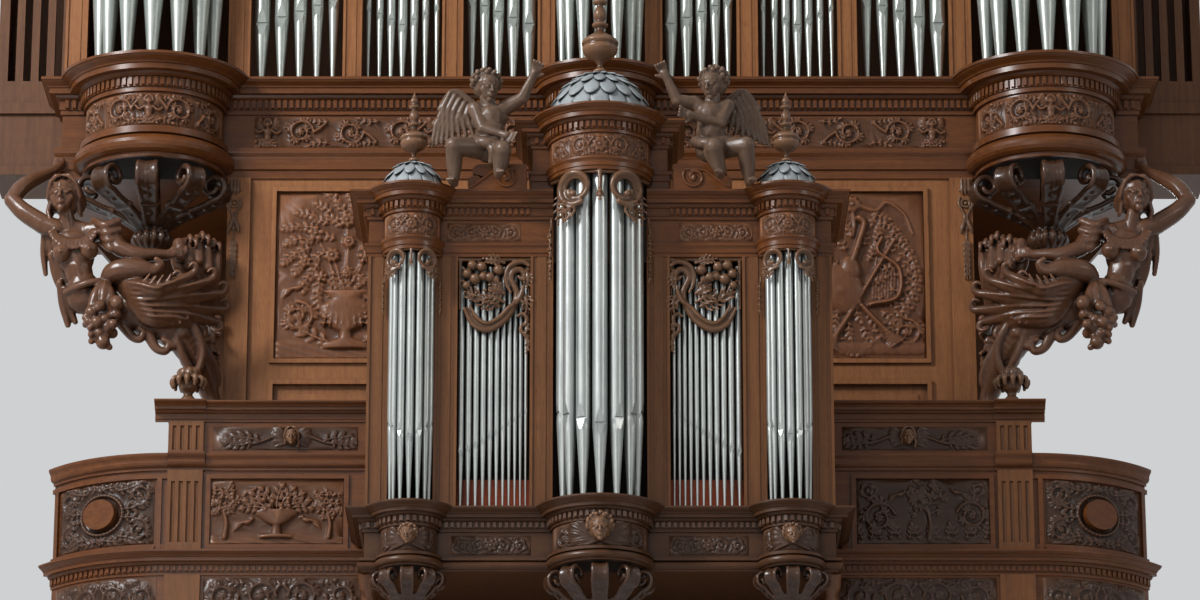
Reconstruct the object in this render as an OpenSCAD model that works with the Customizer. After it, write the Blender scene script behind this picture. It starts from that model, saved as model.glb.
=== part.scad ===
/* [Gallery] */
// Half width of the straight part of the gallery front
gallery_half = 3920; // [3700:10:4200]
// Radius of the curved ends of the gallery front
end_r = 1350; // [1200:10:1500]
// Angle that each curved end turns through
end_sweep = 53; // [45:1:58]
// Depth of the gallery from its front to the back of the case
gallery_d = 4300; // [4100:10:4800]
// Height of the plain beam at the foot of the gallery
beam_h = 780; // [760:10:900]
// Thickness of the beams round the gallery
beam_t = 180; // [140:5:220]
// Height of the moulding between the beam and the gallery frieze
beam_mould_h = 130; // [100:5:160]
// Height of the carved frieze of the gallery
gallery_frieze_h = 380; // [340:10:420]
// Height of the gallery cornice with its dentil band
gallery_cornice_h = 210; // [180:5:240]
// Projection of the gallery cornice
gallery_cornice_p = 150; // [110:5:170]
// Thickness of the deck boards
deck_t = 90; // [60:5:110]
// Thickness of the ceiling boards under the gallery
soffit_t = 60; // [40:5:80]
// Number of joists under the deck
joist_n = 7; // [5:1:9]
// Width of a joist
joist_w = 140; // [100:5:180]

/* [Parapet] */
// Height of the parapet panels above the gallery cornice
parapet_h = 770; // [720:10:850]
// Thickness of the parapet wall
parapet_t = 110; // [90:5:140]
// Height of the handrail moulding
rail_h = 150; // [120:5:180]
// Projection of the handrail moulding
rail_p = 75; // [50:5:90]
// Width of a fluted pilaster
pilaster_w = 320; // [260:5:340]
// Projection of a pilaster from the parapet
pilaster_p = 45; // [30:5:60]
// Number of flutes on a pilaster
flute_n = 4; // [3:1:5]
// Width of the moulded frame round a panel
frame_w = 42; // [30:2:60]
// Height of the upper screen wall above the handrail
screen_h = 310; // [280:5:340]
// Height of the upper screen cornice
screen_cornice_h = 170; // [140:5:190]
// Thickness of the upper screen
screen_t = 100; // [80:5:130]
// Projection of the upper screen cornice
screen_p = 140; // [100:5:160]

/* [Front case] */
// Distance from the gallery front to the face of the front case
front_out = 1000; // [900:10:1100]
// Distance that the front case reaches in behind the parapet
front_in = 150; // [120:10:200]
// Half width of the front case over its posts
front_half = 2080; // [2060:5:2140]
// Height of the underside of the front case above the foot
front_base_z = 1060; // [1000:10:1100]
// Height of the lower moulding of the front case
ring_h = 120; // [100:5:140]
// Height of the carved frieze at the foot of the front case
base_frieze_h = 240; // [220:5:260]
// Height of the dentil band and cornice at the foot of the front case
base_cornice_h = 200; // [180:5:220]
// Projection of that cornice
base_cornice_p = 165; // [120:5:180]
// Height of the pipe openings of the front case
front_open_h = 2360; // [2250:10:2500]
// Height of the lower moulding of the heads
head_arch_h = 120; // [100:5:140]
// Height of the carved frieze of the heads
head_frieze_h = 230; // [200:5:260]
// Height of the dentil band and cornice of the heads
head_cornice_h = 240; // [220:5:260]
// Projection of the head cornice
head_cornice_p = 170; // [130:5:180]
// Distance that the middle tower head stands above the others
centre_rise = 680; // [650:10:760]
// Half width of the block behind the middle tower head
block_half = 610; // [580:5:630]
// Width of a post of the front case
post_w = 205; // [180:5:210]
// Depth of a post of the front case
post_d = 120; // [100:5:130]
// Distance from the middle to the axis of a side tower
side_x = 1685; // [1675:1:1695]
// Radius of a side tower drum
side_r = 250; // [235:5:265]
// Radius of the middle tower drum
centre_r = 425; // [415:5:440]
// Thickness of the case boards
board_t = 40; // [30:2:50]

/* [Great case] */
// Distance from the gallery front to the face of the great case
great_y = 2000; // [1900:10:2100]
// Half width of the lower stage of the great case
stage_half = 3600; // [3550:10:3650]
// Height of the lower stage of the great case above the deck
stage_h = 4360; // [4300:10:4450]
// Width of the corner posts of the lower stage
stage_post_w = 220; // [180:5:240]
// Height of the architrave under the great frieze
great_arch_h = 300; // [260:5:330]
// Height of the great frieze
great_frieze_h = 360; // [320:5:400]
// Height of the great dentil band and cornice
great_cornice_h = 330; // [300:5:350]
// Projection of the great cornice
great_cornice_p = 200; // [160:5:220]
// Height of the pipe openings in the flat bays of the great case
flat_open_h = 3300; // [3200:10:3400]
// Height of the flat bays' head
flat_head_h = 670; // [620:10:720]
// Further height of the side tower openings over the flat bays
tower_rise = 2400; // [2300:10:2500]
// Further height of the middle tower opening over the flat bays
middle_rise = 900; // [850:10:1000]
// Distance from the middle to the axis of a great side tower
tower_x = 4325; // [4315:5:4335]
// Radius of a great side tower drum
tower_r = 670; // [650:5:690]
// Width of the posts beside a great side tower
tower_post_w = 215; // [180:5:240]
// Radius of the great middle tower drum
middle_r = 470; // [455:5:485]
// Depth of a great case post
great_post_d = 140; // [120:5:160]
// Width of a wing
wing_w = 730; // [660:10:800]
// Number of slots in the front of a wing
slot_n = 4; // [3:1:4]
// Width of a slot in a wing
slot_w = 75; // [60:5:80]
// Distance that the wings stand back from the great case face
wing_back = 600; // [550:10:700]
// Height of the wing foot below the great cornice top
wing_drop = 740; // [700:10:760]
// Depth of a wing
wing_d = 700; // [650:10:750]
// Height of the wings above the great cornice top
wing_h = 3500; // [3300:10:3650]
// Thickness of the great case walls
wall_t = 60; // [40:5:80]

/* [Pipes] */
// Angle between the pipes of a front case tower
front_step = 26; // [25:0.5:27]
// Radius of the arc of pipes in a side tower
side_arc = 175; // [170:1:180]
// Radius of the arc of pipes in the middle tower
centre_arc = 335; // [330:1:345]
// Diameter of the largest side tower pipe
side_pipe_d = 72; // [66:1:74]
// Diameter of the largest middle tower pipe
centre_pipe_d = 137; // [128:1:140]
// Diameter of the largest pipe of a front case flat
flat_pipe_d = 56; // [50:1:58]
// Diameter of the smallest pipe of a front case flat
flat_pipe_min = 32; // [28:1:36]
// Number of pipes in a front case flat
flat_pipe_n = 11; // [9:1:11]
// Angle between the pipes of a great tower
great_step = 26; // [25.5:0.25:26.5]
// Radius of the arc of pipes in a great side tower
tower_arc = 560; // [552:1:566]
// Radius of the arc of pipes in the great middle tower
middle_arc = 372; // [366:1:378]
// Diameter of the largest great side tower pipe
tower_pipe_d = 244; // [230:1:246]
// Diameter of the largest great middle tower pipe
middle_pipe_d = 160; // [150:1:162]
// Diameter of the largest pipe of a great outer flat
great_flat_d = 152; // [145:1:158]
// Diameter of the largest pipe of a great inner flat
great_small_d = 96; // [90:1:100]

/* [Ornament] */
// Height of the bracket group under a front case tower
culot_h = 600; // [560:10:640]
// Thickness of a front case scroll bracket
scroll_t = 60; // [50:2:70]
// Height of the dome over a side tower
side_dome_h = 330; // [300:5:360]
// Height of the dome over the middle tower
centre_dome_h = 500; // [470:5:530]
// Height of the finial over a side tower
side_finial_h = 600; // [560:5:640]
// Height of the finial over the middle tower
centre_finial_h = 850; // [800:5:900]
// Height of a great tower dome
tower_dome_h = 760; // [700:10:820]
// Height of a great tower finial
tower_finial_h = 800; // [740:10:860]
// Thickness of a pipe shade carving
shade_t = 40; // [30:2:50]
// Height of the scrolled bracket under a cherub
bracket_h = 240; // [220:5:260]
// Height of a cherub seated on the front case
cherub_h = 1000; // [940:10:1050]

/* [Hidden] */
$fn = 48;

// Levels of the gallery, counted up from its underside
frieze_z = beam_h + beam_mould_h;
cornice_z = frieze_z + gallery_frieze_h;
parapet_z = cornice_z + gallery_cornice_h;
rail_z = parapet_z + parapet_h;
screen_z = rail_z + rail_h;
screen_top = screen_z + screen_h + screen_cornice_h;
deck_top = parapet_z - 80;
cornice_back = 95;
seat = 0.3;
end_x = gallery_half + end_r * sin(end_sweep);
end_y = end_r * (1 - cos(end_sweep));
// Levels of the front case
front_frieze_z = front_base_z + ring_h;
front_cornice_z = front_frieze_z + base_frieze_h;
front_z = front_cornice_z + base_cornice_h;
head_z = front_z + front_open_h;
head_h = head_arch_h + head_frieze_h + head_cornice_h;
head_top = head_z + head_h;
front_d = front_out + front_in;
// Levels of the great case
stage_top = deck_top + stage_h;
great_frieze_z = stage_top + great_arch_h;
great_cornice_z = great_frieze_z + great_frieze_h;
great_z = great_cornice_z + great_cornice_h;
flat_head_z = great_z + flat_open_h;
flat_top = flat_head_z + flat_head_h;
tower_head_z = flat_head_z + tower_rise;
tower_top = tower_head_z + flat_head_h;
middle_head_z = flat_head_z + middle_rise;
middle_top = middle_head_z + flat_head_h;
great_d = gallery_d - great_y;
// Places of the posts, each as its inner and outer edge from the middle
front_posts_x = [[centre_r - 5, centre_r - 5 + post_w], [side_x - side_r + 45 - post_w,
    side_x - side_r + 45],
    [front_half - post_w + 10, front_half]];
upper_half = tower_x + tower_r + 20 + tower_post_w;
great_posts_x = [[440, 610], [1340, 1545], [2330, 2515], [tower_x - tower_r - 20 - tower_post_w,
    tower_x - tower_r - 20],
    [upper_half - tower_post_w, upper_half]];

// Curves and outlines
function arc(cx, cy, r, a0, a1, n) =
    [for (i = [0:n]) [cx + r * cos(a0 + (a1 - a0) * i / n), cy + r * sin(a0 + (a1 - a0) * i / n)]];
function cyma(x0, y0, x1, y1, n) =
    [for (i = [0:n]) [x0 + (x1 - x0) * (1 - cos(180 * i / n)) / 2, y0 + (y1 - y0) * i / n]];
function ovolo(x0, y0, x1, y1, n) =
    [for (i = [0:n]) [x0 + (x1 - x0) * sin(90 * i / n), y0 + (y1 - y0) * (1 - cos(90 * i / n))]];
function raise(pts, dx, dy) = [for (p = pts) [p[0] + dx, p[1] + dy]];
function flip(pts) = [for (i = [len(pts) - 1:-1:0]) pts[i]];
function heading(c, i) =
    let (a = c[max(i - 1, 0)], b = c[min(i + 1, len(c) - 1)], d = b - a) d / norm(d);
function side(c, w, s) =
    [for (i = [0:len(c) - 1]) let (h = heading(c, i)) c[i] + s * w[i] / 2 * [-h[1], h[0]]];
function ribbon(c, w) = concat(side(c, w, 1), flip(side(c, w, -1)));
function spiral(cx, cy, r0, r1, a0, a1, n) =
    [for (i = [0:n]) let (t = i / n, r = r0 + (r1 - r0) * t, a = a0 + (a1 - a0) * t)
        [cx + r * cos(a), cy + r * sin(a)]];
function taper(w0, w1, n) = [for (i = [0:n]) w0 + (w1 - w0) * i / n];

// Moulding outlines: the first value is the projection and the second the height
function cornice_line(h, p) = concat([[p * 0.12, 0]], ovolo(p * 0.12, 0, p * 0.34, h * 0.24, 3),
    [[p * 0.62, h * 0.24], [p * 0.62, h * 0.5]], cyma(p * 0.68, h * 0.54, p * 0.95, h * 0.86, 5),
    [[p, h * 0.86], [p, h]]);
function dentil_cornice_line(h, p) = concat([[p * 0.1, 0], [p * 0.1, h * 0.14], [p * 0.16, h * 0.14],
    [p * 0.16, h * 0.42]], raise(cornice_line(h * 0.58, p), 0, h * 0.42));
function architrave_line(h, p) = concat([[p * 0.3, 0], [p * 0.3, h * 0.26], [p * 0.55, h * 0.3],
    [p * 0.55, h * 0.62]], cyma(p * 0.6, h * 0.66, p, h * 0.88, 4), [[p, h]]);
function torus_line(h, p) = concat([[0, 0], [p * 0.3, 0]], arc(p * 0.35, h * 0.42, h * 0.3, -90, 90, 8),
    [[p * 0.45, h * 0.74], [p * 0.75, h * 0.78], [p * 0.75, h], [0, h]]);
function rail_line(h, p) = concat([[p * 0.25, 0], [p * 0.25, h * 0.14]], ovolo(p * 0.3, h * 0.18,
    p * 0.7, h * 0.45, 3),
    [[p * 0.7, h * 0.55]], cyma(p * 0.72, h * 0.58, p, h * 0.9, 4), [[p, h]]);
function head_line(p) = concat(raise(architrave_line(head_arch_h, p * 0.22), 0, 0),
    [[0, head_arch_h], [0, head_arch_h + head_frieze_h]],
    raise(dentil_cornice_line(head_cornice_h, p), 0, head_arch_h + head_frieze_h));
function flat_head_line(h, p) = concat(architrave_line(h * 0.22, p * 0.25), [[0, h * 0.22], [0, h * 0.6]],
    raise(dentil_cornice_line(h * 0.4, p), 0, h * 0.6));

// A moulding along the gallery front: straight, then round both ends
module along_front(line, back) {
    outline = concat([[-back, line[0][1]]], line, [[-back, line[len(line) - 1][1]]]);
    rotate([90, 0, 90]) linear_extrude(2 * gallery_half, center = true) mirror([1, 0]) polygon(outline);
    for (s = [0, 1]) mirror([s, 0, 0]) end_run(outline);
}
// The same moulding from the front case outwards, on both sides
module beside_front(line, back) {
    outline = concat([[-back, line[0][1]]], line, [[-back, line[len(line) - 1][1]]]);
    both_sides() {
        straight(line, back, front_half, gallery_half);
        end_run(outline);
    }
}
module end_run(outline) {
    translate([gallery_half, end_r, 0]) rotate([0, 0, -90])
        rotate_extrude(angle = end_sweep) translate([end_r, 0]) polygon(outline);
}
// A straight moulding from x0 to x1 with its face on the plane y = 0
module straight(line, back, x0, x1) {
    outline = concat([[-back, line[0][1]]], line, [[-back, line[len(line) - 1][1]]]);
    translate([x0, 0, 0]) rotate([90, 0, 90]) linear_extrude(x1 - x0) mirror([1, 0]) polygon(outline);
}
// A block with the same moulding on its front and both sides, mitred at the corners
module mitred(line, half, depth) {
    z0 = line[0][1];
    z1 = line[len(line) - 1][1];
    intersection() {
        rotate([90, 0, 90]) linear_extrude(4 * half, center = true)
            polygon(concat([[depth, z0]], [for (p = line) [-p[0], p[1]]], [[depth, z1]]));
        translate([0, depth + half, 0]) rotate([90, 0, 0]) linear_extrude(2 * depth + 2 * half)
            polygon(concat([for (p = line) [half + p[0], p[1]]], flip([for (p = line) [-half - p[0],
                p[1]]])));
    }
}
// The front half of a round drum with a moulded edge
module half_drum(line, r) {
    outline = concat([[0, line[0][1]]], [for (p = line) [r + p[0], p[1]]], [[0, line[len(line) - 1][1]]]);
    rotate([0, 0, 180]) rotate_extrude(angle = 180) polygon(outline);
}
module both_sides() {
    children();
    mirror([1, 0, 0]) children();
}
module plan_outline(inset) {
    r = end_r - inset;
    edge = [for (i = [0:12]) let (a = -90 + end_sweep * i / 12) [gallery_half + r * cos(a),
        end_r + r * sin(a)]];
    last = edge[12][0];
    polygon(concat(edge, [[last, gallery_d - inset]], [[-last, gallery_d - inset]],
        flip([for (p = edge) [-p[0], p[1]]])));
}

// Gallery
module gallery_soffit() {
    color("saddlebrown") linear_extrude(soffit_t) plan_outline(beam_t);
}
module gallery_joists() {
    reach = gallery_d - 2 * beam_t;
    pitch = 2 * gallery_half / joist_n;
    color("sienna") for (i = [0:joist_n - 1])
        translate([-gallery_half + pitch * (i + 0.5) - joist_w / 2, beam_t, soffit_t])
            cube([joist_w, reach, deck_top - deck_t - soffit_t]);
}
module gallery_beams() {
    line = concat([[0, 0], [0, beam_h]], raise(architrave_line(beam_mould_h, 50), 0, beam_h),
        [[0, frieze_z], [0, cornice_z]]);
    last = gallery_half + (end_r - beam_t) * sin(end_sweep);
    side_y = end_y + 60;
    top = deck_top - deck_t;
    color("saddlebrown") {
        along_front(line, beam_t);
        both_sides() translate([last, side_y, 0]) cube([end_x - last, gallery_d - side_y, top]);
        translate([-end_x, gallery_d - beam_t, 0]) cube([2 * end_x, beam_t, top]);
    }
}
module gallery_deck() {
    color("peru") difference() {
        translate([0, 0, deck_top - deck_t]) linear_extrude(deck_t) plan_outline(cornice_back + 1);
        translate([-front_half - 1, 0, deck_top - deck_t - 1]) cube([2 * front_half + 2, front_in + 1,
            deck_t + 2]);
    }
}
module gallery_cornice() {
    line = raise(dentil_cornice_line(gallery_cornice_h, gallery_cornice_p), 0, cornice_z);
    color("sienna") beside_front(line, cornice_back);
}

// Parapet
module raised_frame(w, h, t) {
    difference() {
        translate([-w / 2, -t, 0]) cube([w, t, h]);
        translate([-w / 2 + frame_w, -t - 1, frame_w]) cube([w - 2 * frame_w, t + 2, h - 2 * frame_w]);
    }
}
module parapet_panels() {
    x0 = front_half + base_cornice_p;
    x1 = gallery_half - pilaster_w;
    color("sienna") both_sides() {
        translate([front_half, 0, parapet_z]) cube([gallery_half - front_half, parapet_t, parapet_h]);
        translate([(x0 + x1) / 2, 0, parapet_z + 35]) raised_frame(x1 - x0 - 60, parapet_h - 70, 24);
    }
}
module parapet_end(s) {
    wall = [[-parapet_t, parapet_z], [0, parapet_z], [0, rail_z], [-parapet_t, rail_z]];
    rim = 24;
    low = [[0, parapet_z + 35], [rim, parapet_z + 35], [rim, parapet_z + 35 + frame_w], [0,
        parapet_z + 35 + frame_w]];
    color("sienna") mirror([s, 0, 0]) {
        end_run(wall);
        end_run(low);
        end_run(raise(low, 0, parapet_h - 70 - frame_w));
        for (a = [2, end_sweep / 2 + 1, end_sweep - 4])
            if (a != end_sweep / 2 + 1)
                translate([gallery_half, end_r, 0]) rotate([0, 0, a - 90]) translate([end_r - 1, 0,
                    parapet_z + 35])
                    cube([rim + 1, frame_w, parapet_h - 70]);
        medallion();
    }
}
module medallion() {
    oval = [for (i = [0:31]) [165 * cos(i * 360 / 32), 140 * sin(i * 360 / 32)]];
    translate([gallery_half, end_r, parapet_z + parapet_h / 2]) rotate([0, 0, end_sweep / 2])
        translate([0, -end_r + 30, 0]) rotate([90, 0, 0]) linear_extrude(90) polygon(oval);
}
module pilaster(h) {
    flute = pilaster_w / (flute_n * 2 + 1);
    difference() {
        translate([-pilaster_w / 2, -pilaster_p, 0]) cube([pilaster_w, pilaster_p, h]);
        for (i = [0:flute_n - 1])
            translate([-pilaster_w / 2 + flute * (1.5 + 2 * i), -pilaster_p, h * 0.12])
                cylinder(h = h * 0.74, r = flute / 2);
    }
}
module pilasters() {
    x = gallery_half - pilaster_w / 2;
    color("sienna") both_sides() {
        translate([x, 0, parapet_z]) pilaster(parapet_h);
        translate([x, 0, screen_z]) pilaster(screen_h);
        translate([x - pilaster_w / 2, -pilaster_p, frieze_z])
            cube([pilaster_w, pilaster_p, gallery_frieze_h]);
    }
}
module handrail() {
    line = raise(rail_line(rail_h, rail_p), 0, rail_z);
    cap = raise(rail_line(rail_h, rail_p + pilaster_p), 0, rail_z);
    color("peru") {
        beside_front(line, parapet_t + 20);
        both_sides() straight(cap, 0, gallery_half - pilaster_w - 20, gallery_half - 5);
    }
}
module upper_screen() {
    line = raise(dentil_cornice_line(screen_cornice_h, screen_p), 0, screen_z + screen_h);
    cap = raise(dentil_cornice_line(screen_cornice_h, screen_p + pilaster_p), 0, screen_z + screen_h);
    color("sienna") both_sides() {
        translate([front_half, 0, screen_z]) cube([gallery_half - front_half, screen_t, screen_h]);
        straight(line, screen_t, front_half, gallery_half + 10);
        straight(cap, 0, gallery_half - pilaster_w - 20, gallery_half + screen_p * 0.9);
    }
}
module urn(h) {
    rotate_extrude() polygon(concat([[0, 0], [h * 0.26, 0], [h * 0.24, h * 0.08], [h * 0.08, h * 0.16],
        [h * 0.07, h * 0.26]], ovolo(h * 0.1, h * 0.28, h * 0.3, h * 0.62, 5),
        [[h * 0.33, h * 0.68], [h * 0.27, h * 0.74]], [for (i = [0:5]) [h * 0.24 * cos(18 * i),
            h * (0.76 + 0.24 * sin(18 * i))]]));
}
module screen_urns() {
    color("saddlebrown") both_sides() translate([gallery_half - pilaster_w / 2, screen_t / 2,
        screen_top]) urn(360);
}

// Front case
function front_base_line() = concat(raise(torus_line(ring_h, 65), 0, front_base_z),
    [[0, front_frieze_z], [0, front_cornice_z]],
    raise(dentil_cornice_line(base_cornice_h, base_cornice_p), 0, front_cornice_z));
module front_base() {
    color("sienna") difference() {
        translate([0, -front_out, 0]) union() {
            mitred(front_base_line(), front_half, front_out);
            for (t = [[0, centre_r], [side_x, side_r], [-side_x, side_r]])
                translate([t[0], 0, 0]) half_drum(front_base_line(), t[1]);
        }
        translate([-front_half + 100, -front_out + 100, front_base_z + 60])
            cube([2 * front_half - 200, front_out, front_z - front_base_z - 120]);
        both_sides() translate([front_half, -gallery_cornice_p - seat, cornice_z - 10])
            cube([base_cornice_p + 50, gallery_cornice_p + 10, gallery_cornice_h + 10 + seat]);
    }
}
module front_floor() {
    color("sienna") translate([-front_half, seat, deck_top - deck_t])
        cube([2 * front_half, front_in - seat, front_z - deck_top + deck_t]);
}
// A bracket that curls out at its head and runs down to the axis
function bracket_curl(r) = spiral(r * 0.98, -r * 0.38, r * 0.1, r * 0.3, 500, 90, 16);
function bracket_run(r, h) = [for (i = [0:9]) let (t = i / 9)
    [r * (1.0 - 0.88 * t * (1.6 - 0.6 * t)), -r * 0.12 - (h - r * 0.12) * pow(t, 1.5)]];
module scroll_bracket(r, h, t) {
    rotate([90, 0, 0]) translate([0, 0, -t / 2]) linear_extrude(t) {
        polygon(ribbon(bracket_curl(r), taper(r * 0.07, r * 0.14, 16)));
        polygon(ribbon(bracket_run(r, h), taper(r * 0.2, r * 0.13, 9)));
    }
}
module culot(r, h, t, n) {
    for (i = [0:n - 1]) rotate([0, 0, -90 + (i - (n - 1) / 2) * 150 / (n - 1)]) scroll_bracket(r, h, t);
    translate([0, 0, -h]) rotate([0, 0, 180]) rotate_extrude(angle = 360) polygon([[0, -r * 0.42],
        [r * 0.16, -r * 0.38],
        [r * 0.28, -r * 0.2], [r * 0.3, -r * 0.05], [r * 0.22, r * 0.1], [r * 0.14, r * 0.2], [r * 0.12,
            h - seat], [0, h - seat]]);
}
module front_culots() {
    color("saddlebrown") {
        translate([0, -front_out, front_base_z]) culot(centre_r, culot_h, scroll_t, 5);
        both_sides() translate([side_x, -front_out, front_base_z]) culot(side_r * 1.15, culot_h * 0.82,
            scroll_t * 0.8, 5);
    }
}
module front_struts() {
    foot = [front_half - 90, -10, 330];
    top = [front_half - 20, -front_out + 130, front_base_z];
    run = top - foot;
    length = norm(run);
    color("peru") both_sides() intersection() {
        translate(foot) rotate([0, acos(run[2] / length), atan2(run[1], run[0])])
            rotate_extrude() polygon([[0, -90], [70, -90], [70, 30], [46, 60], [58, length * 0.3], [50,
                length * 0.72],
                [58, length * 0.76], [48, length * 0.82], [72, length * 0.9], [72, length + 60], [0,
                    length + 60]]);
        translate([0, -front_out, 0]) cube([front_half * 2, front_out - seat, front_base_z - seat]);
    }
}
module front_windchest() {
    color("chocolate") both_sides() translate([front_posts_x[0][1], -front_out + 170, front_z])
        cube([front_posts_x[1][0] - front_posts_x[0][1], 30, front_open_h * 0.14]);
}
module front_post(x0, x1, h, d) {
    w = x1 - x0;
    translate([x0, 0, 0]) cube([w, d, h]);
    for (x = [x0, x1 - 26]) translate([x, -14, 0]) cube([26, 15, h]);
    translate([x0 + w / 2 - w * 0.2, -8, 0]) cube([w * 0.4, 9, h]);
}
module front_posts() {
    color("sienna") both_sides() for (p = front_posts_x)
        translate([0, -front_out, front_z]) front_post(p[0], p[1], front_open_h, post_d);
}
// A wall of stiles, rails and raised panels on the plane y = 0
module framed_wall(w, h, t, cols, rows, stile) {
    pw = (w - stile * (cols + 1)) / cols;
    ph = (h - stile * (rows + 1)) / rows;
    difference() {
        cube([w, t, h]);
        for (i = [0:cols - 1], j = [0:rows - 1])
            translate([stile + i * (pw + stile), -1, stile + j * (ph + stile)]) cube([pw, t * 0.4 + 1, ph]);
    }
    for (i = [0:cols - 1], j = [0:rows - 1])
        translate([stile * 1.5 + i * (pw + stile), t * 0.15, stile * 1.5 + j * (ph + stile)])
            cube([pw - stile, t * 0.3, ph - stile]);
}
module front_side_walls() {
    color("sienna") both_sides() translate([front_half, -front_out + post_d, front_z])
        rotate([0, 0, 90]) framed_wall(front_d - post_d - board_t, front_open_h, board_t, 1, 3, 110);
}
module front_back_wall() {
    color("sienna") translate([front_half, front_in, front_z]) rotate([0, 0, 180])
        framed_wall(2 * front_half, front_open_h, board_t, 4, 2, 120);
}
module front_head() {
    opening = centre_r - 5;
    color("sienna") translate([0, -front_out, head_z]) difference() {
        union() {
            mitred(head_line(head_cornice_p), front_half, front_d);
            translate([0, 0, centre_rise]) {
                mitred(concat([[0, head_h - centre_rise]], head_line(head_cornice_p * 0.95)), block_half,
                    front_d * 0.72);
                half_drum(head_line(head_cornice_p), centre_r + 30);
            }
            both_sides() translate([side_x, 0, 0]) half_drum(head_line(head_cornice_p), side_r + 6);
        }
        translate([-opening, -head_cornice_p - 10, -1]) cube([2 * opening, head_cornice_p + post_d + 60,
            centre_rise + 1]);
        translate([-front_half + 120, 200, -1]) cube([2 * front_half - 240, front_d - 320, head_h - 60]);
        translate([-block_half + 90, 200, 0]) cube([2 * block_half - 180, front_d * 0.72 - 300,
            centre_rise + head_h - 60]);
    }
}
module dome(r, h) {
    rotate_extrude() polygon(concat([[0, 0]], [for (i = [0:8]) let (a = i * 10) [r * pow(cos(a), 1.15),
        h * 0.96 * sin(a)]],
        [[r * 0.12, h], [0, h]]));
}
module front_domes() {
    color("slategray") translate([0, -front_out, 0]) {
        translate([0, 0, head_top + centre_rise]) dome(centre_r * 1.04, centre_dome_h);
        both_sides() translate([side_x, 0, head_top]) dome(side_r * 1.04, side_dome_h);
    }
}
module finial(h, r) {
    rotate_extrude() polygon(concat([[0, 0], [r * 0.55, 0], [r * 0.3, h * 0.06], [r * 0.22, h * 0.12]],
        arc(0, h * 0.12 + r * 1.02, r, -70, 70, 10),
        [[r * 0.3, h * 0.14 + r * 2], [r * 0.42, h * 0.2 + r * 2], [r * 0.5, h * 0.28 + r * 2],
            [r * 0.24, h * 0.4 + r * 2],
        [r * 0.16, h * 0.48 + r * 2], [r * 0.3, h * 0.52 + r * 2], [r * 0.12, h * 0.56 + r * 2], [0, h]]));
}
module front_finials() {
    color("saddlebrown") translate([0, -front_out, 0]) {
        translate([0, 0, head_top + centre_rise + centre_dome_h]) finial(centre_finial_h, 165);
        both_sides() translate([side_x, 0, head_top + side_dome_h]) finial(side_finial_h, 118);
    }
}
// Two scrolls that face each other over the pipes of a tower
function top_of(pts) = max([for (p = pts) p[1]]);
module tower_shade(r, z, h) {
    n = 26;
    scroll = ribbon(spiral(0, 0, h * 0.14, h * 0.44, 560, 90, n), taper(h * 0.07, h * 0.15, n));
    leaf = ribbon([[h * 0.34, -h * 0.2], [h * 0.4, -h * 0.5], [h * 0.3, -h * 0.85]], [h * 0.16, h * 0.14,
        h * 0.05]);
    for (a = [-38, 38]) rotate([0, 0, a]) translate([0, -r, z - top_of(scroll) - seat])
        mirror([a < 0 ? 1 : 0, 0, 0])
        rotate([90, 0, 0]) translate([0, 0, -shade_t / 2]) linear_extrude(shade_t) {
            polygon(scroll);
            polygon(leaf);
        }
}
module front_tower_shades() {
    color("saddlebrown") translate([0, -front_out, 0]) {
        tower_shade(centre_arc + centre_pipe_d / 2 + shade_t / 2 + 6, head_z + centre_rise, 480);
        both_sides() translate([side_x, 0, 0]) tower_shade(side_arc + side_pipe_d / 2 + shade_t / 2 + 6,
            head_z, 270);
    }
}
// A crescent, a scroll and a cluster of fruit that hang from the head of a flat
module flat_shade(w) {
    n = 20;
    rotate([90, 0, 0]) translate([0, 0, -shade_t / 2]) linear_extrude(shade_t) {
        polygon(ribbon(arc(w * 0.5, -w * 0.17, w * 0.42, 165, 375, n), concat(taper(46, 76, 10),
            taper(76, 46, 9))));
        polygon(ribbon(spiral(w * 0.25, -w * 0.2, w * 0.06, w * 0.16, 480, 60, 14), taper(24, 40, 14)));
        translate([w * 0.01, -52]) square([w * 0.98, 52 - seat]);
    }
    rotate([90, 0, 0]) translate([0, 0, -shade_t / 2]) linear_extrude(shade_t * 0.6)
        polygon([for (i = [0:23]) [w * (0.6 + 0.32 * cos(i * 15)), -w * (0.22 + 0.2 * sin(i * 15))]]);
    for (p = [[0.45, 0.14, 0.08], [0.62, 0.12, 0.075], [0.55, 0.3, 0.078], [0.72, 0.26, 0.072], [0.82,
        0.14, 0.065]])
        translate([w * p[0], shade_t * 0.45 - w * p[2], -w * p[1]]) sphere(r = w * p[2], $fn = 16);
}
module front_flat_shades() {
    w = front_posts_x[1][0] - front_posts_x[0][1];
    color("saddlebrown") both_sides() translate([front_posts_x[1][0], -front_out + 20, head_z])
        mirror([1, 0, 0]) flat_shade(w);
}

// Pipes: a conical foot, a flattened mouth and a round body
module pipe(d, foot, body) {
    lip = d * 0.9;
    difference() {
        union() {
            cylinder(h = foot, r1 = d * 0.17, r2 = d / 2);
            translate([0, 0, foot]) cylinder(h = body, r = d / 2);
        }
        translate([-d * 0.36, -d, foot + d * 0.02]) cube([d * 0.72, d * 0.66, d * 0.16]);
        translate([-d, -d * 0.41, foot + d * 0.18]) rotate([atan(0.1), 0, 0])
            translate([0, -d, -0.02 * d]) cube([2 * d, d, lip]);
        translate([-d, -d * 0.41, foot + d * 0.02]) rotate([atan(0.33 * d / foot - 0.12), 0, 0])
            translate([0, -d, -lip * 0.8]) cube([2 * d, d, lip * 0.82]);
    }
}
module tower_pipes(n, r, step, d, foot, rise, top) {
    for (i = [0:n - 1]) {
        k = i - (n - 1) / 2;
        f = foot + rise * abs(k);
        pd = d * (1 - 0.03 * abs(k));
        rotate([0, 0, k * step]) translate([0, -r, 0]) pipe(pd, f, top - f - 12);
    }
}
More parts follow.
